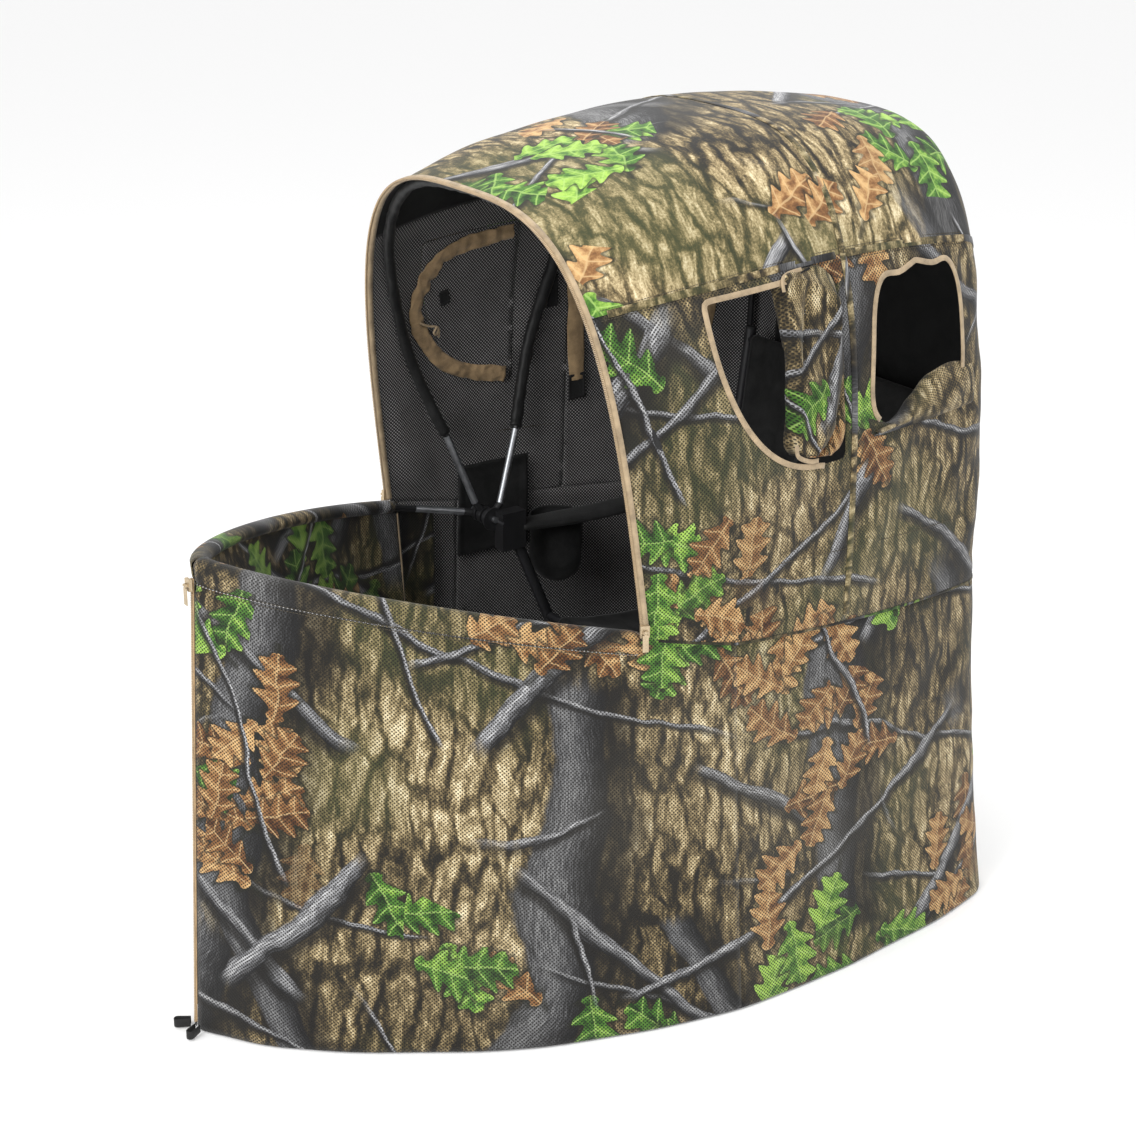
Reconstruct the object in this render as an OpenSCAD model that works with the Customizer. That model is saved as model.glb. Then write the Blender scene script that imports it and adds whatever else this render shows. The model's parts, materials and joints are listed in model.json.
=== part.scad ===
// One-person flip-over ground blind: a folding sling chair whose two hubs carry
// three pivoting hoops, a standing rear hoop, and a fabric shell cut panel by panel.
// Millimetres, +Z up, -Y is the front (the pointed nose), the floor is z = 0.
// Outlines are written about the hub axis (y = 0) and at_hub() moves them to the frame.

/* [Shell plan] */
// Half of the width at the widest place
half_width = 390; // [370:1:400]
// How far behind the hub the widest place lies
widest_y = 58; // [40:1:70]
// Hub axis to the nose at the rim
front_len = 682; // [660:1:700]
// Hub axis to the rear wall
rear_len = 575; // [570:1:590]
// Fullness of the bow: smaller is blunter
bow_power = 0.69; // [0.65:0.01:0.75]
// How much the plan narrows towards the rear, per mm squared
rear_taper = 0.000303; // [0.00028:0.00001:0.00032]
// Radius of the rear corners
corner_r = 60; // [50:1:70]
// How far the hem stands out of the rim at the nose
nose_flare = 38; // [30:1:45]
// How far the hem stands out at the sides and rear
side_flare = 37; // [30:1:45]

/* [Shell heights] */
// Height of the hub axis and of the seam beside it
hub_h = 600; // [590:1:610]
// Height of the rim at the nose
nose_h = 750; // [735:1:765]
// Height of the seam at the rear
tail_h = 560; // [550:1:570]
// Height of the roof at its highest place
roof_h = 1312; // [1300:1:1320]
// Where the roof is highest, behind the hub
roof_peak_y = 253; // [230:1:270]
// How fast the roof falls away from its highest place, per mm squared
roof_fall = 0.000342; // [0.0003:0.00001:0.00038]
// Power of the hood's rounded cross-section
hood_power = 3.3; // [3:0.1:3.6]
// Height of the hem over the floor
hem_z = 3; // [2:1:6]

/* [Hoops] */
// Distance of the front opening ahead of the hub at its foot
opening_foot = 145; // [140:1:150]
// Distance of the front opening ahead of the hub at its top
opening_top = 220; // [215:1:225]
// Distance of the arch pole ahead of the hub at its top
arch_top = 198; // [190:1:202]
// Distance of the middle pole behind the hub at its top
mid_top = 215; // [205:1:225]
// Radius of the hoop poles
pole_r = 5.5; // [5:0.5:6]
// Gap from the shell's outside to the middle of a pole
pole_inset = 13; // [12:1:15]

/* [Chair] */
// Radius of the chair's steel tubes
tube_r = 9.5; // [8:0.5:10]
// Wall of the chair's steel tubes
tube_wall = 1.5; // [1:0.25:2]
// Half of the spacing of the arm legs
arm_leg_x = 260; // [255:1:262]
// Half of the spacing of the back legs
back_leg_x = 235; // [230:1:237]
// Where the rear floor bar lies behind the hub
rear_foot_y = 270; // [260:1:280]
// Where the front floor bar lies, ahead of the hub
front_foot_y = -60; // [-70:1:-50]
// Height of the seat's front rail
seat_front_h = 408; // [400:1:415]
// Seat's rear rail: behind the hub
seat_rear_y = 440; // [430:1:445]
// Seat's rear rail: height
seat_rear_h = 380; // [370:1:390]
// Top rail of the backrest: behind the hub
back_top_y = 512; // [505:1:515]
// Top rail of the backrest: height
back_top_h = 860; // [840:1:870]

/* [Cloth] */
// Thickness that a cloth panel is given
cloth_t = 2; // [1.5:0.5:3]
// Gap left between neighbouring panels
seam_gap = 2; // [1:0.5:3]
// Width of a zip tape
zip_w = 14; // [12:1:16]

/* [Hidden] */
$fn = 32;
loop_reach = 27;                        // the stake loops' reach ahead of the nose hem
hub_y = (front_len + nose_flare + loop_reach - rear_len - side_flare) / 2;
e = 2 / hood_power;
roof_seam_a = 40;                       // section angle of the seam between wall and roof
panel_mid_y = 215;                      // seam between front and rear hood bays, at the rim
panel_mid_lean = 20;                    // and how much further back it lies at the roof
bar_over = 14;                          // how far a floor bar runs past its legs
foot_r = 12;
foot_z = foot_r;
pin_r = 4;
run_gap = 0.05;
hub_pin_r = 5;
lug_t = 11;
lug_r = 15;
lug_pitch = 16;
mid_x = 281;                            // middles of the lugs: the innermost is the middle hoop's
arch_x = mid_x + lug_pitch;
rim_x = arch_x + lug_pitch;
ferrule_r = 6;
arm_top_z = 600;
arm_top_y = 20;
arm_band_z = 572;

// ---------- outlines ----------
function mix(a, b, t) = a + (b - a) * t;
function clamp01(t) = min(1, max(0, t));
function smooth(t) = let (c = clamp01(t)) c * c * (3 - 2 * c);
function corner_u(y) = clamp01((y - (rear_len - corner_r)) / corner_r);
function corner_cut(y) = corner_r * (1 - sqrt(max(0, 1 - pow(corner_u(y), 2))));

// Half-width of the plan at a distance y behind the hub
function plan_x(y) = y < widest_y
  ? half_width * pow(sin(90 * clamp01((y + front_len) / (widest_y + front_len))), bow_power)
  : half_width - rear_taper * pow(y - widest_y, 2) - corner_cut(y);
// Height of the rim and seam
function seam_z(y) = y < 0 ? mix(hub_h, nose_h, -y / front_len) : mix(hub_h, tail_h, y / rear_len);
// Height of the roof's ridge
function roof_z(y) = roof_h - roof_fall * pow(y - roof_peak_y, 2) - corner_cut(y);
function fall(v) = pow(max(0, v), e);
// A point of the hood: a = 0 at the right seam, 90 on the ridge, 180 at the left seam
function hood_pt(y, a, inset = 0) = [
  sign(cos(a)) * (plan_x(y) - inset) * fall(abs(cos(a))), y,
  seam_z(y) + (roof_z(y) - seam_z(y) - inset) * fall(sin(a))];
// Edge of the front opening, and the seam between the two hood bays
function opening_y(a) = -mix(opening_foot, opening_top, fall(sin(a)));
function bay_y(a) = panel_mid_y + panel_mid_lean * fall(sin(a));
// A point of the skirt: v = 0 at the rim, 1 at the hem
function skirt_pt(y, v, tape = 0) = let (
    x = max(plan_x(y), tape), k = clamp01(x / half_width),
    nose = clamp01(-y / front_len), tail = clamp01(y / rear_len))
  [x + v * side_flare * k, y + v * (side_flare * tail - nose_flare * nose),
   mix(seam_z(y), hem_z, v)];

// ---------- helpers ----------
module at_hub() translate([0, hub_y, 0]) children();
module both_sides() { children(); mirror([1, 0, 0]) children(); }
module side(s) { if (s > 0) children(); else mirror([1, 0, 0]) children(); }
function unit(v) = v / norm(v);

// A straight rod from p to q
module rod(p, q, r) {
  d = q - p;
  translate(p) rotate([0, acos(d.z / norm(d)), atan2(d.y, d.x)]) cylinder(h = norm(d), r = r);
}
// The bore of a tube from p to q, run past both of its ends
module bore(p, q) rod(p - unit(q - p), q + unit(q - p), tube_r - tube_wall);
// A cylinder along X from x0 to x1
module x_rod(x0, x1, y, z, r) translate([x0, y, z]) rotate([0, 90, 0]) cylinder(h = x1 - x0, r = r);

function tangent(p, i) = unit(p[min(i + 1, len(p) - 1)] - p[max(i - 1, 0)]);
// The faces of a tube of m rings with n corners each, closed with flat ends
function tube_faces(m, n) = concat(
  [for (i = [0 : m - 2], j = [0 : n - 1]) [i * n + j, i * n + (j + 1) % n, (i + 1) * n + (j + 1) % n]],
  [for (i = [0 : m - 2], j = [0 : n - 1]) [i * n + j, (i + 1) * n + (j + 1) % n, (i + 1) * n + j]],
  [[for (j = [n - 1 : -1 : 0]) j]], [[for (j = [0 : n - 1]) (m - 1) * n + j]]);
// A tube with n flat sides along a path, its first corner turned towards ref;
// w and h stretch it into a flat band
module sweep(path, ref, w, h, n = 8) {
  rings = [for (i = [0 : len(path) - 1]) let (
      t = tangent(path, i), u = unit(ref - t * (ref * t)), v = cross(t, u))
    for (j = [0 : n - 1]) let (a = 360 * (j + 0.5) / n)
      path[i] + u * cos(a) * w / cos(180 / n) + v * sin(a) * h / cos(180 / n)];
  polyhedron(rings, tube_faces(len(path), n), convexity = 8);
}
module tube(path, ref, r) sweep(path, ref, r * cos(22.5), r * cos(22.5));

// A thin shell of a grid of points, t thick towards the inside; flip turns it round
function grid_normal(g, i, j) = unit(cross(
  g[min(i + 1, len(g) - 1)][j] - g[max(i - 1, 0)][j],
  g[i][min(j + 1, len(g[0]) - 1)] - g[i][max(j - 1, 0)]));
module shell(g, t, off = 0, flip = 1) {
  m = len(g);
  n = len(g[0]);
  outer = [for (i = [0 : m - 1], j = [0 : n - 1]) g[i][j] + flip * grid_normal(g, i, j) * off];
  inner = [for (i = [0 : m - 1], j = [0 : n - 1]) g[i][j] + flip * grid_normal(g, i, j) * (off + t)];
  k = m * n;
  skin = [for (i = [0 : m - 2], j = [0 : n - 2]) each [
    [i * n + j, (i + 1) * n + j, (i + 1) * n + j + 1],
    [i * n + j, (i + 1) * n + j + 1, i * n + j + 1]]];
  rim = concat([for (i = [0 : m - 1]) i * n], [for (j = [1 : n - 1]) (m - 1) * n + j],
    [for (i = [m - 2 : -1 : 0]) i * n + n - 1], [for (j = [n - 2 : -1 : 1]) j]);
  wall = [for (q = [0 : len(rim) - 1]) let (a = rim[q], b = rim[(q + 1) % len(rim)]) each [
    [b, a, a + k], [b, a + k, b + k]]];
  back = [for (f = skin) [f[2] + k, f[1] + k, f[0] + k]];
  faces = concat(skin, wall, back);
  polyhedron(concat(outer, inner), flip > 0 ? [for (f = faces) [f[2], f[1], f[0]]] : faces, convexity = 10);
}

// ---------- stations ----------
skirt_v = [0, 0.33, 0.67, 1];
function skirt_grid(ys, tape) = [for (v = skirt_v) [for (y = ys) skirt_pt(y, v, tape)]];
front_ys = [for (t = [0 : 1 / 12 : 1.001]) -front_len + (front_len - seam_gap / 2) * pow(t, 1.8)];
corner_ys = [for (a = [20 : 14 : 90]) rear_len - corner_r * (1 - sin(a))];
side_ys = concat([for (t = [0 : 0.2 : 1.001]) mix(seam_gap / 2, rear_len - corner_r, t)], corner_ys);
wall_a = [for (t = [0 : 1 / 7 : 1.001]) roof_seam_a * pow(t, 1.7)];
roof_a = [for (t = [0 : 1 / 14 : 1.001]) mix(roof_seam_a, 180 - roof_seam_a, t)];
bay_cols = [for (t = [0 : 1 / 7 : 1.001]) t];
hood_rear_cols = concat([for (t = [0 : 0.2 : 0.801]) t * 0.95], [0.84, 0.92, 0.97, 1]);

// ---------- folding chair ----------
arm_foot = [arm_leg_x, rear_foot_y, foot_z];
arm_top = [arm_leg_x, arm_top_y, arm_top_z];
back_foot = [back_leg_x, front_foot_y, foot_z];
back_knee = [back_leg_x, seat_rear_y, seat_rear_h];
back_tip = [back_leg_x, back_top_y, back_top_h];
arm_lean = (arm_top.y - arm_foot.y) / (arm_top.z - arm_foot.z);
back_lean = (back_knee.y - back_foot.y) / (back_knee.z - back_foot.z);
pivot_z = foot_z + (arm_foot.y - back_foot.y) / (back_lean - arm_lean);
pivot_y = arm_foot.y + arm_lean * (pivot_z - foot_z);
seat_front_y = arm_foot.y + arm_lean * (seat_front_h - foot_z);
rail_r = tube_r - 1.5;
back_up = unit(back_tip - back_knee);
seat_rail = back_knee + back_up * 22;
top_rail = back_tip - back_up * 18;
washer_x0 = back_leg_x + tube_r;
washer_x1 = arm_leg_x - tube_r;

module arm_leg(s) color("#26272a") at_hub() side(s) difference() {
  rod(arm_foot, arm_top, tube_r);
  bore(arm_foot, arm_top);
  x_rod(0, arm_leg_x + 40, rear_foot_y, foot_z, tube_r);
  x_rod(arm_leg_x - 20, arm_leg_x + 20, pivot_y, pivot_z, pin_r);
}
module floor_bar(x, y) color("#26272a") at_hub() difference() {
  x_rod(-x - bar_over, x + bar_over, y, foot_z, tube_r);
  x_rod(-x - bar_over - 1, x + bar_over + 1, y, foot_z, tube_r - tube_wall);
}
module rear_floor_bar() floor_bar(arm_leg_x, rear_foot_y);
module seat_front_rail() color("#26272a") at_hub() difference() {
  x_rod(-arm_leg_x, arm_leg_x, seat_front_y, seat_front_h, rail_r);
  both_sides() rod(arm_foot, arm_top, tube_r);
}
module foot_caps(y, x) color("#1b1b1c") at_hub() both_sides() difference() {
  x_rod(x - 42, x - 14, y, foot_z, foot_r);
  x_rod(x - 50, x, y, foot_z, tube_r);
}
module rear_foot_caps() foot_caps(rear_foot_y, arm_leg_x);
module back_leg(s) color("#26272a") at_hub() side(s) difference() {
  union() {
    rod(back_foot, back_knee, tube_r);
    translate(back_knee) sphere(r = tube_r);
    rod(back_knee, back_tip, tube_r);
  }
  bore(back_foot, back_knee);
  bore(back_knee, back_tip);
  x_rod(0, back_leg_x + 20, front_foot_y, foot_z, tube_r);
  x_rod(back_leg_x - 20, back_leg_x + 20, pivot_y, pivot_z, pin_r + run_gap);
}
module front_floor_bar() floor_bar(back_leg_x, front_foot_y);
module front_foot_caps() foot_caps(front_foot_y, back_leg_x);
module seat_rear_rail() color("#26272a") at_hub() difference() {
  x_rod(-back_leg_x, back_leg_x, seat_rail.y, seat_rail.z, rail_r);
  both_sides() rod(back_knee, back_tip, tube_r);
}
module back_top_rail() color("#26272a") at_hub() difference() {
  x_rod(-back_leg_x, back_leg_x, top_rail.y, top_rail.z, rail_r);
  both_sides() rod(back_knee, back_tip, tube_r);
}
module back_tube_plugs() color("#1b1b1c") at_hub() both_sides() translate(back_tip)
  rotate([-atan2(back_tip.y - back_knee.y, back_tip.z - back_knee.z), 0, 0]) {
    cylinder(h = 4, r = tube_r);
    translate([0, 0, -12]) cylinder(h = 12, r = tube_r - tube_wall);
  }
module chair_pivot_bolts() color("#8d9094") at_hub() both_sides() {
  x_rod(back_leg_x - tube_r - 1, arm_leg_x + tube_r + 1, pivot_y, pivot_z, pin_r);
  x_rod(arm_leg_x + tube_r + 1, arm_leg_x + tube_r + 5, pivot_y, pivot_z, pin_r * 2);
  x_rod(back_leg_x - tube_r - 5, back_leg_x - tube_r - 1, pivot_y, pivot_z, pin_r * 2);
}
module chair_pivot_washers() color("#1b1b1c") at_hub() both_sides() difference() {
  x_rod(washer_x0 + 0.3, washer_x1 - 0.3, pivot_y, pivot_z, tube_r);
  x_rod(washer_x0 - 1, washer_x1 + 1, pivot_y, pivot_z, pin_r);
}

// Slings: t runs from one rail to the other, the cloth sags by sag in the middle
function sling_pt(x, p, q, sag, t) = [x, mix(p.x, q.x, t), mix(p.y, q.y, t) - sag * sin(180 * t)];
module sling(half, p, q, sag, flip) {
  xs = [for (t = [-1 : 0.25 : 1]) t * half];
  ts = [for (t = [0 : 0.125 : 1.001]) t];
  shell([for (t = ts) [for (x = xs) sling_pt(x, p, q, sag * (1 - pow(x / half, 2) * 0.6), t)]],
    cloth_t, 0, flip);
}
module seat_sling() color("#1d1e20") at_hub()
  sling(arm_leg_x - 42, [seat_front_y + tube_r + 3, seat_front_h + tube_r],
    [seat_rail.y - rail_r - 4, seat_rail.z], 26, -1);
module back_sling() color("#1d1e20") at_hub()
  sling(back_leg_x - 13, [seat_rail.y - 8, seat_rail.z + 20],
    [top_rail.y - 14, top_rail.z], 0, -1);
module arm_bands() color("#1d1e20") at_hub() both_sides()
  translate([arm_leg_x - 46, arm_top_y + 32, arm_band_z]) cube([60, 395, cloth_t + 1]);
cup_y = arm_top_y + 134;
cup_x = -(arm_leg_x + 52);
cup_r = 46;
cup_h = 120;
cup_wall = 2.5;
// A deep pocket with a round bottom, hung from the left arm band
module cup_holder() color("#1d1e20") at_hub() translate([cup_x, cup_y, arm_band_z - 4 - cup_h + cup_r])
  difference() {
    union() {
      cylinder(h = cup_h - cup_r, r = cup_r);
      sphere(r = cup_r);
    }
    cylinder(h = cup_h, r = cup_r - cup_wall);
    sphere(r = cup_r - cup_wall);
  }

// ---------- hubs ----------
module hub_blocks() color("#151516") at_hub() both_sides() difference() {
  union() {
    x_rod(arm_leg_x + tube_r + 0.4, mid_x - lug_t / 2 - 0.6, 0, hub_h, 20);
    translate([arm_leg_x - 13, 3, hub_h - 52]) cube([tube_r * 2 + 7, 46, 66]);
  }
  rod(arm_foot, arm_top, tube_r);
  x_rod(arm_leg_x - 30, mid_x + 30, 0, hub_h, hub_pin_r);
}
pin_end_x = rim_x + lug_t / 2 + 6;
module hub_pins() color("#8d9094") at_hub() both_sides() {
  x_rod(arm_leg_x + 4, pin_end_x, 0, hub_h, hub_pin_r);
  x_rod(pin_end_x, pin_end_x + 4, 0, hub_h, hub_pin_r * 2);
}
// A lug: a bored disc with a socket that points along dir
module lug(x, dir) difference() {
  union() {
    x_rod(x - lug_t / 2, x + lug_t / 2, 0, hub_h, lug_r);
    rod([x, 0, hub_h], [x, 0, hub_h] + unit(dir) * 30, ferrule_r);
  }
  x_rod(x - lug_t, x + lug_t, 0, hub_h, hub_pin_r + run_gap);
}

// ---------- hoops ----------
// How far a leg has reached the shell: 0 at the hub, 1 on the shell
function reach(s) = smooth(s / 0.45);
function leg_a(t) = 90 * t * t;
function arch_y(s) = -arch_top * (1 - pow(1 - s, 1.5));
function mid_y(s) = mid_top * (1 - pow(1 - s, 2));
function hoop_pt(t, lug_x, y) = let (
    s = fall(sin(leg_a(t))), p = hood_pt(y, leg_a(t), pole_inset))
  [mix(lug_x, p.x, reach(s)), y, mix(hub_h, p.z, reach(s * 3))];
function arch_pt(t) = hoop_pt(t, arch_x, arch_y(fall(sin(leg_a(t)))));
function mid_pt(t) = hoop_pt(t, mid_x, mid_y(fall(sin(leg_a(t)))));
function flip_x(p) = [-p.x, p.y, p.z];
// A whole hoop: the right leg, over the top, and down the left leg
function whole(right) = concat(right, [for (i = [len(right) - 2 : -1 : 0]) flip_x(right[i])]);
hoop_ts = [for (i = [0 : 14]) mix(0.21, 1, i / 14)];
ferrule_ts = [0.1, 0.155, 0.21];
arch_dir = arch_pt(0.1) - [arch_x, 0, hub_h];
mid_dir = mid_pt(0.1) - [mid_x, 0, hub_h];

module lug_pair(x, dir) color("#151516") at_hub() both_sides() lug(x, dir);
module ferrule(x, dir, far) rod([x, 0, hub_h] + unit(dir) * 30, far, ferrule_r);
module rim_lugs() lug_pair(rim_x, rim_dir);
module arch_lugs() lug_pair(arch_x, arch_dir);
module mid_lugs() lug_pair(mid_x, mid_dir);
module rim_ferrules() color("#b9bcc0") at_hub() both_sides() ferrule(rim_x, rim_dir, rim_pts[0]);
module arch_ferrules() color("#b9bcc0") at_hub() both_sides() ferrule(arch_x, arch_dir, arch_pt(0.21));
module mid_ferrules() color("#b9bcc0") at_hub() both_sides() ferrule(mid_x, mid_dir, mid_pt(0.21));
module arch_pole() color("#1a1a1b") at_hub() tube(whole([for (t = hoop_ts) arch_pt(t)]), [0, 1, 0.2], pole_r);
module mid_pole() color("#1a1a1b") at_hub() tube(whole([for (t = hoop_ts) mid_pt(t)]), [0, 1, -0.3], pole_r);

// The rim pole follows the plan from the hub to the nose, inset from the cloth
function plan_pt(y) = [plan_x(y), y];
function plan_side(y) = let (d = plan_pt(y + 1) - plan_pt(y - 0.4)) unit([d.y, -d.x]);
function rim_pt(y) = let (
    p = plan_pt(y) - plan_side(y) * pole_inset, k = smooth(-y / 190))
  [mix(rim_x, p.x, k), p.y, mix(hub_h, seam_z(p.y) - 4, smooth(-y / 60))];
elbow_y = -front_len + 9;
rim_ys = [for (t = [0 : 1 / 13 : 1.001]) mix(-112, elbow_y, 1 - pow(1 - t, 1.7))];
rim_pts = [for (y = rim_ys) rim_pt(y)];
rim_dir = rim_pts[0] - [rim_x, 0, hub_h];
module rim_pole(s) color("#1a1a1b") at_hub() side(s) tube(rim_pts, [0, 0, 1], pole_r);
nose_tip_y = -front_len + pole_inset;
module nose_elbow() color("#151516") at_hub() {
  last = rim_pts[len(rim_pts) - 1];
  tube(whole([last, [last.x * 0.5, mix(last.y, nose_tip_y, 0.75), last.z], [0, nose_tip_y, last.z]]),
    [0, 0, 1], pole_r + 1);
}

// The rear hoop stands on the floor in the rear corners
rear_leg_y = rear_len - corner_r + (corner_r - pole_inset) * sin(45);
rear_leg_x = plan_x(rear_leg_y) - pole_inset / sin(45);
rear_top_z = roof_z(rear_leg_y) - pole_inset;
function rear_hoop_pt(a) = [rear_leg_x * fall(cos(a)), rear_leg_y,
  seam_z(rear_leg_y) + (rear_top_z - seam_z(rear_leg_y)) * fall(sin(a))];
module rear_hoop() color("#1a1a1b") at_hub()
  tube(whole(concat([[rear_leg_x, rear_leg_y, 6], [rear_leg_x, rear_leg_y, 300]],
    [for (t = [0 : 1 / 11 : 1.001]) rear_hoop_pt(leg_a(t))])), [0, 1, 0], pole_r);
module rear_hoop_feet() color("#1b1b1c") at_hub() both_sides() translate([rear_leg_x, rear_leg_y, 0]) {
  difference() {
    cylinder(h = 26, r = pole_r + 3);
    translate([0, 0, 5.9]) cylinder(h = 30, r = pole_r + 0.1);
  }
}

// ---------- skirts ----------
module front_skirt(s) color("#6f6a4c") at_hub() side(s)
  shell(skirt_grid(front_ys, zip_w / 2 + 1), cloth_t, 0, -1);
module side_skirt(s) color("#6f6a4c") at_hub() side(s)
  shell(skirt_grid(side_ys, 0), cloth_t, 0, -1);
rear_half = plan_x(rear_len) - seam_gap;
module rear_skirt() color("#6f6a4c") at_hub()
  shell([for (v = skirt_v) [for (t = [1 : -0.25 : -1]) let (p = skirt_pt(rear_len, v))
    [t * (rear_half + v * (p.x - plan_x(rear_len))), p.y, p.z]]], cloth_t, 0, -1);

// ---------- hood ----------
seam_lift = seam_gap;
module lift_seam() translate([0, 0, seam_lift]) children();
function bay(y0s, y1s, cols, as, gap) = [for (k = [len(as) - 1 : -1 : 0]) [for (c = cols)
  let (y = mix(y0s[k], y1s[k] - gap, c)) hood_pt(y, as[k])]];
wall_open = [for (a = wall_a) opening_y(a)];
wall_mid = [for (a = wall_a) bay_y(a)];
wall_rear = [for (a = wall_a) rear_len];
roof_open = [for (a = roof_a) opening_y(a)];
roof_mid = [for (a = roof_a) bay_y(a)];
roof_rear_ys = [for (a = roof_a) rear_len];

// Window outlines in the side view: a D with a straight rear edge, and a square with
// rounded corners, a leaning front edge and a wavy top; size 1 is the opening itself
front_window = [[62, 984], [12, 944]];  // middles of the right and the left one
rear_window = [[376, 990], [350, 950]];
function which(s) = s > 0 ? 0 : 1;
// Front edge of the D at t from 0 at its foot to 1 at its tip
function d_edge(t) = [94 - 190 * pow(sin(90 * t), 0.8), -138 + 262 * pow(1 - cos(90 * t), 0.9)];
function squared(v) = sign(v) * sqrt(abs(v));
function square_edge(a) = let (u = squared(cos(a)), w = squared(sin(a)))
  [108 * u + 7 * w * (1 - u), 114 * w + (w > 0 ? 5 * cos(450 * u) : 0)];
module window_front_shape(s) translate(front_window[which(s)])
  polygon(concat([[94, 138], [96, -138]], [for (t = [0.1 : 0.1 : 1.001]) d_edge(t)]));
module window_rear_shape(s) translate(rear_window[which(s)])
  polygon([for (a = [0 : 12 : 348]) square_edge(a)]);
module window_cut(s) side(s) rotate([90, 0, 90]) linear_extrude(500) children();

module hood_side_front(s) color("#6f6a4c") at_hub() difference() {
  side(s) lift_seam() shell(bay(wall_open, wall_mid, bay_cols, wall_a, seam_gap), cloth_t, 0, -1);
  window_cut(s) window_front_shape(s);
}
module hood_side_rear(s) color("#6f6a4c") at_hub() difference() {
  side(s) lift_seam() shell(bay(wall_mid, wall_rear, hood_rear_cols, wall_a, 0), cloth_t, 0, -1);
  window_cut(s) window_rear_shape(s);
}
module roof_front() color("#77724f") at_hub() translate([0, 0, 2 * seam_gap])
  shell(bay(roof_open, roof_mid, bay_cols, roof_a, seam_gap), cloth_t, 0, 1);
module roof_rear() color("#77724f") at_hub() translate([0, 0, 2 * seam_gap])
  shell(bay(roof_mid, roof_rear_ys, hood_rear_cols, roof_a, 0), cloth_t, 0, 1);
module rear_wall() color("#6f6a4c") at_hub() {
  pts = [for (t = [0 : 1 / 14 : 1.001]) let (p = hood_pt(rear_len, 180 * t, seam_gap)) [p.x, p.z + seam_gap]];
  translate([0, rear_len, 0]) rotate([90, 0, 0]) linear_extrude(cloth_t) polygon(pts);
}

// ---------- flaps ----------
// The wall's point at a height z, and a grid of such points between two edges
function wall_at(y, z, inset = 0) =
  hood_pt(y, asin(pow((z - seam_z(y)) / (roof_z(y) - seam_z(y)), 1 / e)), inset);
function wall_grid(lefts, rights, middle) = [for (i = [len(lefts) - 1 : -1 : 0])
  [for (c = bay_cols) let (p = middle + flap_size * mix(lefts[i], rights[i], c)) wall_at(p.x, p.y)]];
// Left flaps: zipped shut, each a little smaller than its window
flap_size = 0.965;
module window_flap_front_left() color("#5d5a44") at_hub() {
  ts = [for (t = [0.06 : 0.094 : 1.001]) t];
  mirror([1, 0, 0]) lift_seam() shell(wall_grid([for (t = ts) d_edge(t)],
    [for (t = ts) [95, d_edge(t).y]], front_window[1]), cloth_t, 0, -1);
}
module window_flap_rear_left() color("#5d5a44") at_hub() {
  as = [for (a = [-78 : 13 : 78]) a];
  mirror([1, 0, 0]) lift_seam() shell(wall_grid([for (a = as) square_edge(180 - a)],
    [for (a = as) square_edge(a)], rear_window[1]), cloth_t, 0, -1);
}
// Right front flap: gathered in pleats along the rear edge of its window
module window_flap_front_right() color("#6f6a4c") at_hub() {
  path = [for (t = [0 : 0.125 : 1.001]) wall_at(190 + 8 * sin(180 * t), mix(868, 1096, t), -8)];
  sweep(path, [0, 1, 0], 24, 5, 8);
}
// Right rear flap: dropped inside under its window
module window_flap_rear_right() color("#6f6a4c") at_hub() {
  path = [for (t = [0 : 0.125 : 1.001]) wall_at(mix(276, 478, t), 862 + 34 * t * t, 14)];
  sweep(path, [0, 0, 1], 30, 7, 8);
}
// Front panel: unzipped and folded down inside the far side of the front
module front_panel_flap() color("#6f6a4c") at_hub() {
  ys = [for (t = [0 : 0.125 : 1.001]) mix(-150, -610, t)];
  g = [for (v = [0, 0.25, 0.5, 0.75, 1]) [for (y = ys) let (p = skirt_pt(y, v * 0.42), n = plan_side(y))
    [-(p.x - n.x * 30), p.y - n.y * 30, p.z - 20]]];
  shell(g, cloth_t, 0, -1);
}

// ---------- zips, patches and loops ----------
// The tape around the front opening, and the tape down the nose
opening_as = [for (t = [0 : 1 / 12 : 1.001]) leg_a(t)];
module opening_zip() color("#b39a70") at_hub() {
  right = [for (a = opening_as) let (p = hood_pt(opening_y(a) - 5, a, 1)) p + [0, 0, 3]];
  sweep(whole(right), [0, 1, 0], 3.4, 2.4, 4);
}
function nose_pt(v) = let (p = skirt_pt(-front_len, v)) [0, p.y - 2, p.z];
module nose_zip() color("#b39a70") at_hub() sweep([nose_pt(0.02), nose_pt(0.985)], [1, 0, 0], zip_w / 2, 2, 4);
module hub_patches() color("#19191a") at_hub() both_sides() {
  ys = [for (t = [-60 : 20 : 60]) t];
  g = [for (z = [682, 643, 604]) [for (y = ys) [hood_pt(y, 3)[0] - 7, y, z]]];
  shell(g, 2, 0, -1);
}
// A flat webbing strap sewn into a narrow eye: it runs along +X, w high
module webbing_eye(l, half, w) difference() {
  union() {
    translate([0, -half, 0]) cube([l - half, half * 2, w]);
    translate([l - half, 0, 0]) cylinder(h = w, r = half);
  }
  translate([2, -half + 2, -1]) cube([l - half - 2, half * 2 - 4, w + 2]);
  translate([l - half, 0, -1]) cylinder(h = w + 2, r = half - 2);
}
module stake_loops() color("#121212") at_hub() both_sides()
  translate([11, -front_len - nose_flare - 3, 2]) rotate([0, 0, -60]) webbing_eye(27, 6, 14);

// ---------- zip sliders and pulls ----------
slider_v = 0.03;
bar_y = -9;
pull_pin_r = 1;
// A slider: its plate, and two cheeks that hold the bar its pull hangs from
module slider_body() {
  translate([-7, -6, -9]) cube([14, 5, 18]);
  for (x = [-3.7, 2.5]) translate([x, -11, -2]) cube([1.2, 5.5, 4]);
  x_rod(-3.7, 3.7, bar_y, 0, pull_pin_r);
}
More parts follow.
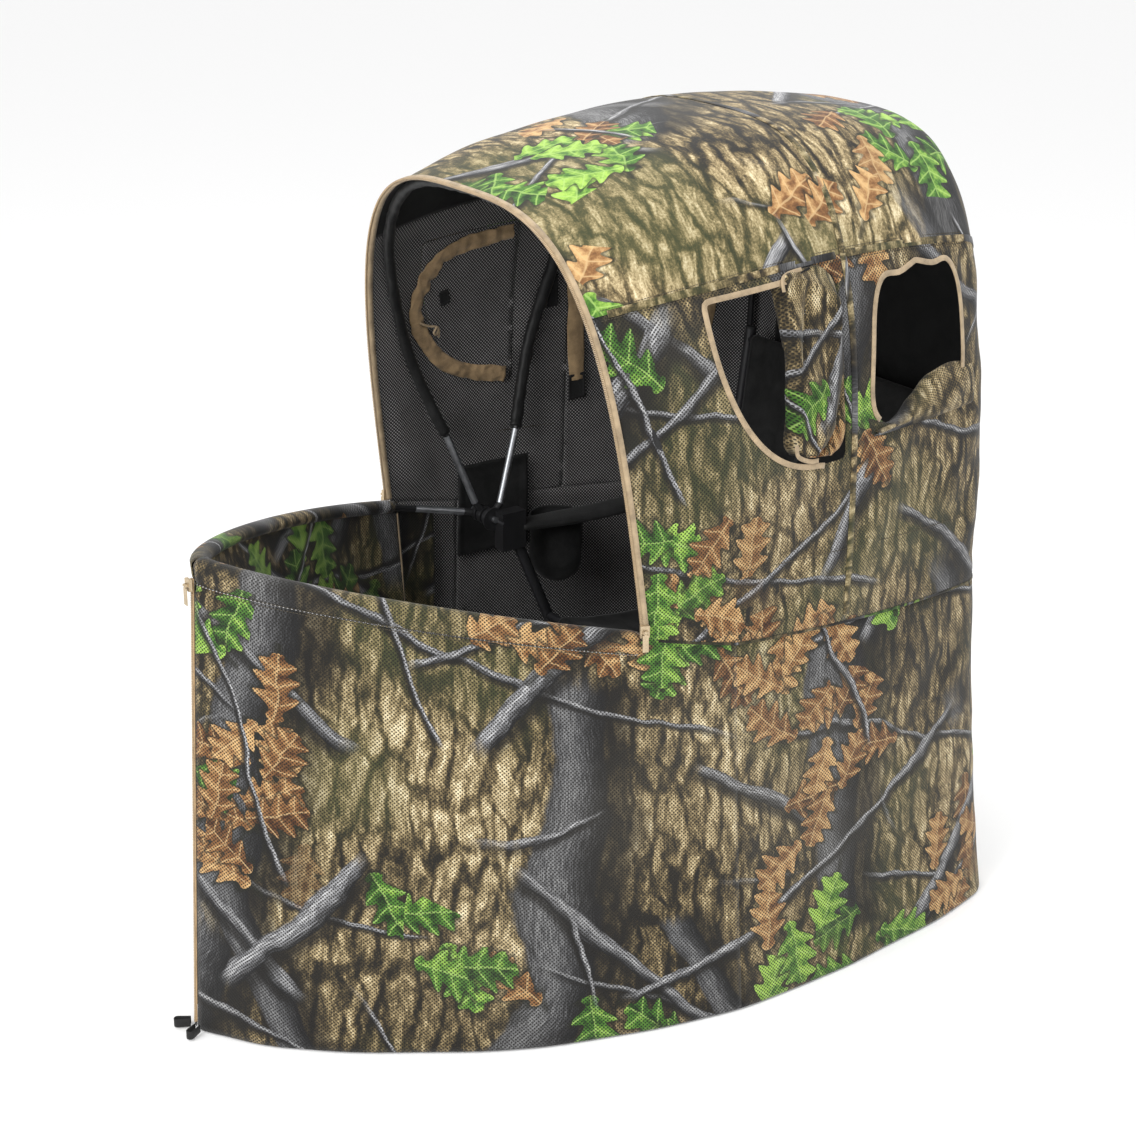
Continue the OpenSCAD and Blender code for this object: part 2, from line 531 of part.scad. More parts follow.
// A pull tab hanging from the bar
module pull_tab() difference() {
  union() {
    x_rod(-2.2, 2.2, bar_y, 0, 2.4);
    translate([-2.2, bar_y - 0.8, -4.5]) cube([4.4, 1.6, 3]);
    translate([-4.5, bar_y - 0.8, -30]) cube([9, 1.6, 26]);
  }
  x_rod(-5, 5, bar_y, 0, pull_pin_r + run_gap);
}
nose_at = nose_pt(slider_v) + [0, -2.4, -8];
module nose_slider() color("#8f7a52") at_hub() translate(nose_at) slider_body();
module nose_pull() color("#8f7a52") at_hub() translate(nose_at) pull_tab();
foot_turn = 70;
opening_at = hood_pt(opening_y(0) - 4, 0) + [0, -2, 14];
module at_opening_foot() translate(opening_at) rotate([0, 0, foot_turn]) children();
module opening_sliders() color("#8f7a52") at_hub() both_sides() at_opening_foot() slider_body();
module opening_pull(s) color("#8f7a52") at_hub() side(s) at_opening_foot() pull_tab();

arm_leg(1);  // arm_leg_right
arm_leg(-1);  // arm_leg_left
rear_floor_bar();
seat_front_rail();
rear_foot_caps();
back_leg(1);  // back_leg_right
back_leg(-1);  // back_leg_left
front_floor_bar();
seat_rear_rail();
back_top_rail();
front_foot_caps();
back_tube_plugs();
chair_pivot_bolts();
chair_pivot_washers();
seat_sling();
back_sling();
arm_bands();
cup_holder();
hub_blocks();
hub_pins();
rim_lugs();
rim_ferrules();
rim_pole(1);  // rim_pole_right
rim_pole(-1);  // rim_pole_left
nose_elbow();
arch_lugs();
arch_ferrules();
arch_pole();
mid_lugs();
mid_ferrules();
mid_pole();
rear_hoop();
rear_hoop_feet();
front_skirt(1);  // front_skirt_right
front_skirt(-1);  // front_skirt_left
side_skirt(1);  // side_skirt_right
side_skirt(-1);  // side_skirt_left
rear_skirt();
hood_side_front(1);  // hood_side_front_right
hood_side_front(-1);  // hood_side_front_left
hood_side_rear(1);  // hood_side_rear_right
hood_side_rear(-1);  // hood_side_rear_left
roof_front();
roof_rear();
rear_wall();
front_panel_flap();
window_flap_front_left();
window_flap_rear_left();
window_flap_front_right();
window_flap_rear_right();
opening_zip();
nose_zip();
hub_patches();
stake_loops();
nose_slider();
nose_pull();
opening_sliders();
opening_pull(1);  // opening_pull_right
opening_pull(-1);  // opening_pull_left
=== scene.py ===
"""One-person flip-over ground blind: the visible model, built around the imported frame.

Metres, +Z up, -Y is the pointed front. The shell's outlines are the same formulas as the frame's,
written about the hub axis (y = 0) and moved by HUB_Y when a mesh is made.
"""
import json
import math

import bpy
import numpy as np
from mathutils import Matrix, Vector, geometry, noise


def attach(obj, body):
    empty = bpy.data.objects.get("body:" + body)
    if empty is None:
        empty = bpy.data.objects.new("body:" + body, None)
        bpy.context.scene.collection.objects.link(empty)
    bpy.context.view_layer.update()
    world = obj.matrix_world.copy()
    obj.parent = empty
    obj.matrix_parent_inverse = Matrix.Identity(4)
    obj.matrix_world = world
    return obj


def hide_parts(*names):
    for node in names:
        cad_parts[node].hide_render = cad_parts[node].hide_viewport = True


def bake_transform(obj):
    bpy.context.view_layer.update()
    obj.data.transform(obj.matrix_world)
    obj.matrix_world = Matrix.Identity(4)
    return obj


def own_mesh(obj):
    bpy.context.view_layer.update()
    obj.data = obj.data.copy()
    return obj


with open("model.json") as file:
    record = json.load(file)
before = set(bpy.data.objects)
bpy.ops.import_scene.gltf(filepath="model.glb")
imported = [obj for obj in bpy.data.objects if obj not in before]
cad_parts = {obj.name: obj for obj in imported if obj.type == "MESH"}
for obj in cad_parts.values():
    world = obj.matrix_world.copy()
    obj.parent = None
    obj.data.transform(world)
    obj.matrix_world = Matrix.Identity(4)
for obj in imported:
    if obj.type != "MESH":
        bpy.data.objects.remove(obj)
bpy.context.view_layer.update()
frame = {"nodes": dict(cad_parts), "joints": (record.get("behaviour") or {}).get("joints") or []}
NODES = frame["nodes"]
HOOD_JOINT = next(j for j in frame["joints"] if j["name"] == "hood_fold")
HUB_Y = HOOD_JOINT["pos_m"][1]
HUB_Z = HOOD_JOINT["pos_m"][2]

# ---------------------------------------------------------------- the shell's driving sizes
HALF_W = 0.390
WIDEST_Y = 0.058
FRONT_L = 0.682
REAR_L = 0.575
BOW_POWER = 0.69
REAR_TAPER = 0.303
CORNER_R = 0.060
NOSE_FLARE = 0.038
SIDE_FLARE = 0.037
NOSE_H = 0.750
TAIL_H = 0.560
ROOF_H = 1.312
ROOF_PEAK_Y = 0.253
ROOF_FALL = 0.342
HOOD_POWER = 3.3
HEM_Z = 0.003
OPENING_FOOT = 0.145
OPENING_TOP = 0.220
BAY_Y = 0.215
BAY_LEAN = 0.020
POLE_INSET = 0.013
ROOF_SEAM = math.radians(40)
FRONT_WINDOW = {1: (0.062, 0.984), -1: (0.012, 0.944)}
REAR_WINDOW = {1: (0.376, 0.990), -1: (0.350, 0.950)}
CLOTH = 0.0012
STEP = 0.009


# ---------------------------------------------------------------- outlines
def mix(a, b, t):
    return a + (b - a) * t


def smooth(t):
    t = np.clip(t, 0, 1)
    return t * t * (3 - 2 * t)


def corner_cut(y):
    u = np.clip((y - (REAR_L - CORNER_R)) / CORNER_R, 0, 1)
    return CORNER_R * (1 - np.sqrt(np.maximum(0, 1 - u * u)))


def plan_x(y):
    """Half-width of the plan at y behind the hub."""
    y = np.asarray(y, float)
    bow = HALF_W * np.sin(np.pi / 2 * np.clip((y + FRONT_L) / (WIDEST_Y + FRONT_L), 0, 1)) ** BOW_POWER
    return np.where(y < WIDEST_Y, bow, HALF_W - REAR_TAPER * (y - WIDEST_Y) ** 2 - corner_cut(y))


def seam_z(y):
    """Height of the rim and of the seam between skirt and hood."""
    y = np.asarray(y, float)
    return np.where(y < 0, mix(HUB_Z, NOSE_H, -y / FRONT_L), mix(HUB_Z, TAIL_H, y / REAR_L))


def roof_z(y):
    y = np.asarray(y, float)
    return ROOF_H - ROOF_FALL * (y - ROOF_PEAK_Y) ** 2 - corner_cut(y)


def fall(v):
    return np.maximum(0, v) ** (2 / HOOD_POWER)


def hood_pt(y, a, inset=0.0):
    """A point of the hood: a = 0 at the right seam, pi / 2 on the ridge, pi at the left seam."""
    y, a = np.broadcast_arrays(np.asarray(y, float), np.asarray(a, float))
    x = np.sign(np.cos(a)) * (plan_x(y) - inset) * fall(np.abs(np.cos(a)))
    return np.stack([x, y, seam_z(y) + (roof_z(y) - seam_z(y) - inset) * fall(np.sin(a))], -1)


def wall_pt(y, z, side=1, inset=0.0):
    """The hood wall's point at a height z."""
    y, z = np.broadcast_arrays(np.asarray(y, float), np.asarray(z, float))
    k = np.clip((z - seam_z(y)) / (roof_z(y) - seam_z(y)), 0, 1)
    return np.stack([side * (plan_x(y) - inset) * (1 - k ** HOOD_POWER) ** (1 / HOOD_POWER), y, z], -1)


def opening_y(a):
    return -mix(OPENING_FOOT, OPENING_TOP, fall(np.sin(a)))


def bay_y(a):
    return BAY_Y + BAY_LEAN * fall(np.sin(a))


def skirt_pt(y, v, side=1):
    """A point of the skirt: v = 0 at the rim, 1 at the hem."""
    y, v = np.broadcast_arrays(np.asarray(y, float), np.asarray(v, float))
    x = plan_x(y)
    nose = np.clip(-y / FRONT_L, 0, 1)
    tail = np.clip(y / REAR_L, 0, 1)
    out_y = y + v * (SIDE_FLARE * tail - NOSE_FLARE * nose)
    return np.stack([side * (x + v * SIDE_FLARE * np.clip(x / HALF_W, 0, 1)), out_y,
                     mix(seam_z(y), HEM_Z, v)], -1)


def plan_normal(y):
    """Outward unit normal of the plan on the right side."""
    d = 0.001
    dx = plan_x(y + d) - plan_x(np.maximum(y - d, -FRONT_L))
    n = np.stack([np.full_like(dx, 2 * d), -dx, np.zeros_like(dx)], -1)
    return n / np.linalg.norm(n, axis=-1, keepdims=True)


# Arc length along the plan from the hub, and back
_STATIONS = np.concatenate([
    -FRONT_L + FRONT_L * np.linspace(0, 1, 1500) ** 2,
    (REAR_L - CORNER_R) * np.linspace(0, 1, 600)[1:],
    REAR_L - CORNER_R + CORNER_R * np.sin(np.linspace(0, np.pi / 2, 400))[1:]])
_STEPS = np.hypot(np.diff(_STATIONS), np.diff(plan_x(_STATIONS)))
_ARC = np.concatenate([[0], np.cumsum(_STEPS)])
_ARC -= np.interp(0, _STATIONS, _ARC)


def arc_of(y):
    return np.interp(y, _STATIONS, _ARC)


def y_of(arc):
    return np.interp(arc, _ARC, _STATIONS)


def d_edge(t, side):
    """Front edge of the D-shaped window, t = 0 at its foot."""
    t = np.asarray(t, float)
    y = 0.094 - 0.190 * np.sin(np.pi / 2 * t) ** 0.8
    z = -0.138 + 0.262 * (1 - np.cos(np.pi / 2 * t)) ** 0.9
    return np.stack([y, z], -1) + np.array(FRONT_WINDOW[side])


def squared(v):
    return np.sign(v) * np.sqrt(np.abs(v))


def square_edge(a, side):
    """Edge of the rear window at an angle a: rounded corners, leaning front edge, wavy top."""
    u, w = squared(np.cos(a)), squared(np.sin(a))
    wave = np.where(w > 0, 0.005 * np.cos(2.5 * np.pi * u), 0)
    return np.stack([0.108 * u + 0.007 * w * (1 - u), 0.114 * w + wave], -1) + np.array(REAR_WINDOW[side])


# ---------------------------------------------------------------- meshes
def in_frame(points):
    """Points about the hub axis, moved into the row frame."""
    return np.asarray(points, float) + np.array([0, HUB_Y, 0])


def new_object(name, verts, faces, uv=None, materials=(), slots=None, shade=True):
    """A mesh piece from points about the hub axis; uv is one pair for each vertex, in metres."""
    mesh = bpy.data.meshes.new(name)
    mesh.from_pydata(in_frame(verts).tolist(), [], [tuple(int(i) for i in f) for f in faces])
    for material in materials:
        mesh.materials.append(material)
    if slots is not None:
        mesh.polygons.foreach_set("material_index", np.asarray(slots, np.int32))
    if shade:
        mesh.polygons.foreach_set("use_smooth", np.ones(len(mesh.polygons), bool))
    if uv is not None:
        layer = mesh.uv_layers.new(name="cloth")
        index = np.empty(len(mesh.loops), np.int32)
        mesh.loops.foreach_get("vertex_index", index)
        layer.data.foreach_set("uv", np.asarray(uv, np.float32)[index].ravel())
    mesh.validate()
    mesh.update()
    piece = bpy.data.objects.new(name, mesh)
    bpy.context.scene.collection.objects.link(piece)
    return piece


def grid_faces(m, n, closed=False):
    """Quads of an m by n grid of points; closed joins the last column to the first."""
    i, j = np.meshgrid(np.arange(m - 1), np.arange(n if closed else n - 1), indexing="ij")
    k = (j + 1) % n
    return np.stack([i * n + j, i * n + k, (i + 1) * n + k, (i + 1) * n + j], -1).reshape(-1, 4)


def normals_of(points, faces):
    faces = np.asarray(faces)
    a = points[faces[:, 0]]
    b = points[faces[:, 1]]
    c = points[faces[:, 2]]
    d = points[faces[:, -1]]
    face_n = np.cross(c - a, d - b) if faces.shape[1] == 4 else np.cross(b - a, c - a)
    out = np.zeros_like(points)
    for corner in range(faces.shape[1]):
        np.add.at(out, faces[:, corner], face_n)
    return out / np.maximum(np.linalg.norm(out, axis=1, keepdims=True), 1e-12)


def boundary_edges(faces):
    """Edges that only one face uses, in that face's direction."""
    edges = {}
    for face in faces:
        for a, b in zip(face, np.roll(face, -1)):
            edges[(int(a), int(b))] = True
    return [(a, b) for a, b in edges if (b, a) not in edges]


def cloth(name, points, faces, uv, outside, inside, thick=CLOTH, ripple=None, calm=1.0):
    """A closed double skin. Faces wind so that their normals point out of the blind.
    calm scales the ripple at each point, so that sewn edges lie flat."""
    points = np.asarray(points, float)
    uv = np.asarray(uv, float)
    faces = np.asarray(faces)
    normal = normals_of(points, faces)
    if ripple is not None:
        points = points + normal * (ripple(points, uv) * calm)[:, None]
        normal = normals_of(points, faces)
    count = len(points)
    walls = [(b, a, a + count, b + count) for a, b in boundary_edges(faces)]
    all_faces = [tuple(f) for f in faces] + [tuple(f[::-1] + count) for f in faces] + walls
    slots = [0] * len(faces) + [1] * len(faces) + [0] * len(walls)
    verts = np.concatenate([points, points - normal * thick])
    return new_object(name, verts, all_faces, np.concatenate([uv, uv]), (outside, inside), slots)


def inside_polygon(points, polygon):
    """Which points lie inside a closed outline."""
    x, y = points[:, 0], points[:, 1]
    hit = np.zeros(len(points), bool)
    for (x0, y0), (x1, y1) in zip(polygon, np.roll(polygon, -1, axis=0)):
        crosses = (y0 > y) != (y1 > y)
        with np.errstate(divide="ignore", invalid="ignore"):
            at = (x1 - x0) * (y - y0) / (y1 - y0) + x0
        hit ^= crosses & (x < at)
    return hit


def edge_distance(points, polygon):
    best = np.full(len(points), 1e9)
    for a, b in zip(polygon, np.roll(polygon, -1, axis=0)):
        d = b - a
        t = np.clip(((points - a) @ d) / max(d @ d, 1e-12), 0, 1)
        best = np.minimum(best, np.linalg.norm(points - (a + t[:, None] * d), axis=1))
    return best


def spaced(path, step, closed=False):
    """The path again, with points a step apart."""
    path = np.asarray(path, float)
    if closed:
        path = np.concatenate([path, path[:1]])
    along = np.concatenate([[0], np.cumsum(np.linalg.norm(np.diff(path, axis=0), axis=1))])
    count = max(2, int(round(along[-1] / step)) + 1)
    at = np.linspace(0, along[-1], count)
    out = np.stack([np.interp(at, along, path[:, i]) for i in range(path.shape[1])], -1)
    return out[:-1] if closed else out


def cut_sheet(outline, holes=(), step=STEP):
    """Triangles that fill an outline less its holes: points in the plane, and faces."""
    outline = spaced(outline, step, closed=True)
    holes = [spaced(h, step, closed=True) for h in holes]
    low, high = outline.min(0), outline.max(0)
    gx, gy = np.meshgrid(np.arange(low[0], high[0], step), np.arange(low[1], high[1], step * 0.87))
    gx = gx + (np.arange(gx.shape[0]) % 2)[:, None] * step / 2
    grid = np.stack([gx.ravel(), gy.ravel()], -1)
    keep = inside_polygon(grid, outline) & (edge_distance(grid, outline) > step * 0.5)
    for hole in holes:
        keep &= ~inside_polygon(grid, hole) & (edge_distance(grid, hole) > step * 0.5)
    loops = [outline, *holes]
    points = np.concatenate([*loops, grid[keep]])
    edges = []
    first = 0
    for loop in loops:
        edges += [(first + i, first + (i + 1) % len(loop)) for i in range(len(loop))]
        first += len(loop)
    made = geometry.delaunay_2d_cdt([Vector(p) for p in points], edges, [], 0, 1e-7)
    flat = np.array([tuple(p) for p in made[0]])
    tris = np.array([tuple(f) for f in made[2] if len(f) == 3])
    middle = flat[tris].mean(1)
    good = inside_polygon(middle, outline)
    for hole in holes:
        good &= ~inside_polygon(middle, hole)
    tris = tris[good]
    a, b, c = flat[tris[:, 0]], flat[tris[:, 1]], flat[tris[:, 2]]
    turn = (b[:, 0] - a[:, 0]) * (c[:, 1] - a[:, 1]) - (b[:, 1] - a[:, 1]) * (c[:, 0] - a[:, 0])
    tris[turn < 0] = tris[turn < 0][:, ::-1]
    return flat, tris


def wave(uv, angle, long, wide, seed):
    """Stretched noise from -1 to 1: folds that run along angle, in degrees."""
    c, s = math.cos(math.radians(angle)), math.sin(math.radians(angle))
    along = (uv[:, 0] * c + uv[:, 1] * s) / long
    across = (-uv[:, 0] * s + uv[:, 1] * c) / wide
    return np.array([noise.noise(Vector((a, b, seed))) for a, b in zip(along, across)])


def frames_along(path, up, closed=False):
    """Unit tangents, sides and ups along a path; up is one vector or one for each point."""
    path = np.asarray(path, float)
    if closed:
        t = np.roll(path, -1, axis=0) - np.roll(path, 1, axis=0)
    else:
        t = np.gradient(path, axis=0)
    t = t / np.maximum(np.linalg.norm(t, axis=1, keepdims=True), 1e-12)
    up = np.broadcast_to(np.asarray(up, float), path.shape)
    side = np.cross(t, up)
    side = side / np.maximum(np.linalg.norm(side, axis=1, keepdims=True), 1e-12)
    return t, side, np.cross(side, t)


def band(name, path, up, profile, materials, closed=False, caps=True, slots=None):
    """Sweeps a closed outline along a path. profile is (across, up) pairs in metres."""
    path = np.asarray(path, float)
    _, side, top = frames_along(path, up, closed)
    profile = np.asarray(profile, float)
    rings = path[:, None] + side[:, None] * profile[None, :, :1] + top[:, None] * profile[None, :, 1:]
    m, n = len(path), len(profile)
    faces = [tuple(f) for f in grid_faces(m, n, closed=True)]
    if closed:
        last = (m - 1) * n
        faces += [(last + j, last + (j + 1) % n, (j + 1) % n, j) for j in range(n)]
    elif caps:
        faces += [tuple(range(n - 1, -1, -1)), tuple(range((m - 1) * n, m * n))]
    along = np.concatenate([[0], np.cumsum(np.linalg.norm(np.diff(path, axis=0), axis=1))])
    round_it = np.concatenate([[0], np.cumsum(np.linalg.norm(np.diff(profile, axis=0), axis=1))])
    uv = np.stack(np.meshgrid(along, round_it, indexing="ij"), -1).reshape(-1, 2)
    return new_object(name, rings.reshape(-1, 3), faces, uv, materials, slots)


def round_profile(r, sides=12, squash_up=1.0):
    a = np.arange(sides) * 2 * np.pi / sides
    return np.stack([r * np.cos(a), r * squash_up * np.sin(a)], -1)


def flat_profile(width, thick, shift=0.0, lift=0.0):
    """A strip's outline with eased edges."""
    w, t = width / 2, thick / 2
    e = min(w, t) * 0.6
    pts = [(-w, -t + e), (-w + e, -t), (w - e, -t), (w, -t + e),
           (w, t - e), (w - e, t), (-w + e, t), (-w, t - e)]
    return np.array(pts) + np.array([shift, lift])


# ---------------------------------------------------------------- node trees
class Graph:
    """Short calls for building a node tree. A value is a number, a tuple or a socket."""

    def __init__(self, tree):
        self.tree = tree

    def put(self, socket, value):
        if isinstance(value, bpy.types.NodeSocket):
            self.tree.links.new(value, socket)
        elif value is not None:
            socket.default_value = value

    def make(self, kind, values=(), **props):
        made = self.tree.nodes.new(kind)
        for key, value in props.items():
            setattr(made, key, value)
        for key, value in dict(values).items():
            self.put(made.inputs[key], value)
        return made

    def math(self, operation, a, b=None, c=None, clamp=False):
        values = {0: a, 1: b, 2: c}
        return self.make("ShaderNodeMath", values, operation=operation, use_clamp=clamp).outputs[0]

    def add(self, a, b):
        return self.math("ADD", a, b)

    def sub(self, a, b):
        return self.math("SUBTRACT", a, b)

    def mul(self, a, b, clamp=False):
        return self.math("MULTIPLY", a, b, clamp=clamp)

    def mixed(self, fac, a, b, blend="MIX"):
        made = self.make("ShaderNodeMix", {0: fac, 6: a, 7: b}, data_type="RGBA", blend_type=blend)
        return made.outputs[2]

    def noise(self, vector, scale, detail=2.0, rough=0.5, bend=0.0):
        values = {"Vector": vector, "Scale": scale, "Detail": detail, "Roughness": rough, "Distortion": bend}
        return self.make("ShaderNodeTexNoise", values, noise_dimensions="3D").outputs[0]

    def step(self, value, low, high):
        """0 below low, 1 above high, smooth between."""
        values = {"Value": value, "From Min": low, "From Max": high}
        return self.make("ShaderNodeMapRange", values, interpolation_type="SMOOTHSTEP").outputs[0]

    def ramp(self, value, stops):
        made = self.make("ShaderNodeValToRGB", {0: value})
        ramp = made.color_ramp
        while len(ramp.elements) < len(stops):
            ramp.elements.new(0.5)
        for element, (at, colour) in zip(ramp.elements, stops):
            element.position = at
            element.color = (*colour, 1)
        return made.outputs[0]

    def split(self, vector):
        made = self.make("ShaderNodeSeparateXYZ", {0: vector})
        return made.outputs[0], made.outputs[1]

    def joined(self, x, y, z=0.0):
        return self.make("ShaderNodeCombineXYZ", {0: x, 1: y, 2: z}).outputs[0]

    def turned(self, x, y, degrees):
        c, s = math.cos(math.radians(degrees)), math.sin(math.radians(degrees))
        along = self.add(self.mul(x, c), self.mul(y, s))
        across = self.sub(self.mul(y, c), self.mul(x, s))
        return along, across

    def uv(self, shift=(0, 0)):
        made = self.make("ShaderNodeUVMap", uv_map="cloth").outputs[0]
        return self.make("ShaderNodeVectorMath", {0: made, 1: (*shift, 0)}, operation="ADD").outputs[0]

    def place(self):
        return self.make("ShaderNodeTexCoord").outputs["Object"]

    def bump(self, height, strength, distance):
        values = {"Height": height, "Strength": strength, "Distance": distance}
        return self.make("ShaderNodeBump", values).outputs[0]


def new_material(name, rough, metallic=0.0, sheen=0.0, specular=0.5):
    """A Principled material and its graph."""
    material = bpy.data.materials.new(name)
    material.use_nodes = True
    shader = material.node_tree.nodes["Principled BSDF"]
    shader.inputs["Roughness"].default_value = rough
    shader.inputs["Metallic"].default_value = metallic
    shader.inputs["Sheen Weight"].default_value = sheen
    shader.inputs["Specular IOR Level"].default_value = specular
    return material, Graph(material.node_tree), shader


def limb(g, x, y, colour, angle, period, half, bend, seed, keep, light=1.0):
    """Paints branches over a colour: bent lines that come and go, lit from one side."""
    along, across = g.turned(x, y, angle)
    place = g.joined(x, y, seed)
    sway = g.mul(g.sub(g.noise(place, 2.2, 1.5), 0.5), bend * 4)
    kink = g.mul(g.sub(g.noise(place, 14.0, 2.0), 0.5), bend * 0.45)
    across = g.add(across, g.add(sway, kink))
    cells = g.add(g.math("DIVIDE", across, period), seed)
    cell = g.math("FLOOR", cells)
    signed = g.mul(g.sub(g.math("FRACT", cells), 0.5), period)
    knots = g.noise(g.joined(g.mul(along, 7.0), g.mul(cell, 3.7), seed), 1.0, 2.0)
    width = g.mul(g.add(g.mul(knots, 1.3), 0.35), half)
    across01 = g.math("DIVIDE", signed, width)
    there = g.noise(g.joined(g.mul(along, 2.1), g.mul(cell, 5.3), seed + 4), 1.0, 1.0)
    shown = g.step(there, 1 - keep - 0.02, 1 - keep + 0.02)
    inside = g.mul(g.sub(1.0, g.step(g.math("ABSOLUTE", across01), 0.85, 1.05)), shown)
    shadow_at = g.math("ABSOLUTE", g.sub(across01, -1.1))
    shadow = g.mul(g.mul(g.sub(1.0, g.step(shadow_at, 0.3, 1.6)), shown), 0.85)
    streak = g.noise(g.joined(g.mul(along, 34.0), g.mul(signed, 460.0), seed), 1.0, 4.0, 0.75)
    lit = g.sub(1.0, g.math("POWER", g.math("ABSOLUTE", g.sub(across01, 0.35)), 1.6))
    tone = g.add(g.mul(lit, 0.50), g.mul(g.sub(streak, 0.36), 1.7))
    bark = g.ramp(tone, [(0.10, (0.006, 0.006, 0.007)),
                         (0.38, (0.050 * light, 0.050 * light, 0.052 * light)),
                         (0.62, (0.17 * light, 0.17 * light, 0.178 * light)),
                         (0.92, (0.52 * light, 0.52 * light, 0.52 * light))])
    colour = g.mixed(shadow, colour, (0.006, 0.005, 0.004, 1))
    return g.mixed(inside, colour, bark)


def leaves(g, x, y, colour, cells, size, seed, cluster, least, dark, mid, light, vein):
    """Paints lobed oak leaves, one in each cell that a cluster covers."""
    shift = (seed * 0.37, seed * 0.61, 0.0)
    p = g.joined(g.add(x, shift[0]), g.add(y, shift[1]), 0.0)
    values = {"Vector": p, "Scale": cells, "Randomness": 0.70}
    cell = g.make("ShaderNodeTexVoronoi", values, voronoi_dimensions="2D", feature="F1")
    centre = cell.outputs["Position"]
    local = g.make("ShaderNodeVectorMath", {0: p, 1: centre}, operation="SUBTRACT").outputs[0]
    home = (cluster - shift[0], cluster * 0.7 - shift[1], 0.0)
    there = g.make("ShaderNodeVectorMath", {0: centre, 1: home}, operation="ADD").outputs[0]
    pick = g.make("ShaderNodeSeparateColor", {0: cell.outputs["Color"]})
    lx, ly = g.split(local)
    turn = g.mul(pick.outputs[0], 2 * math.pi)
    c, s = g.math("COSINE", turn), g.math("SINE", turn)
    a = g.math("DIVIDE", g.add(g.mul(lx, c), g.mul(ly, s)), size)
    b = g.math("DIVIDE", g.sub(g.mul(ly, c), g.mul(lx, s)), size)
    b = g.add(b, g.mul(g.sub(g.noise(local, 24.0, 2.0), 0.5), 0.30))
    side = g.math("ABSOLUTE", b)
    body = g.math("POWER", g.math("MAXIMUM", g.sub(1.0, g.mul(a, a)), 0.0), 0.5)
    belly = g.add(0.66, g.mul(a, 0.20))
    ribs_at = g.sub(g.mul(a, 1.95), g.mul(side, 0.95))
    rib_wave = g.math("COSINE", g.mul(ribs_at, 2 * math.pi))
    edge = g.mul(g.mul(body, belly), g.add(0.74, g.mul(rib_wave, 0.27)))
    gap = g.sub(edge, side)
    chosen = g.step(g.noise(there, 3.1, 1.0), least, least + 0.01)
    inside = g.mul(g.step(gap, 0.0, 0.03), chosen)
    shade = g.mul(g.mul(g.step(g.add(gap, 0.20), 0.0, 0.18), chosen), 0.75)
    midrib = g.sub(1.0, g.step(side, 0.010, 0.040))
    rib = g.step(rib_wave, 0.93, 0.99)
    veins = g.mul(g.math("MAXIMUM", midrib, rib), 0.6)
    mottle = g.noise(g.joined(lx, ly, seed), 70.0, 4.0, 0.7)
    fold = g.add(g.mul(g.step(b, -0.05, 0.05), 0.20), g.mul(rib_wave, 0.12))
    tone = g.add(g.add(g.mul(g.sub(mottle, 0.5), 1.6), g.mul(pick.outputs[2], 0.40)), g.add(fold, 0.24))
    blade = g.ramp(tone, [(0.08, dark), (0.50, mid), (0.95, light)])
    blade = g.mixed(veins, blade, (*vein, 1))
    colour = g.mixed(shade, colour, (0.010, 0.010, 0.005, 1))
    return g.mixed(inside, colour, blade)


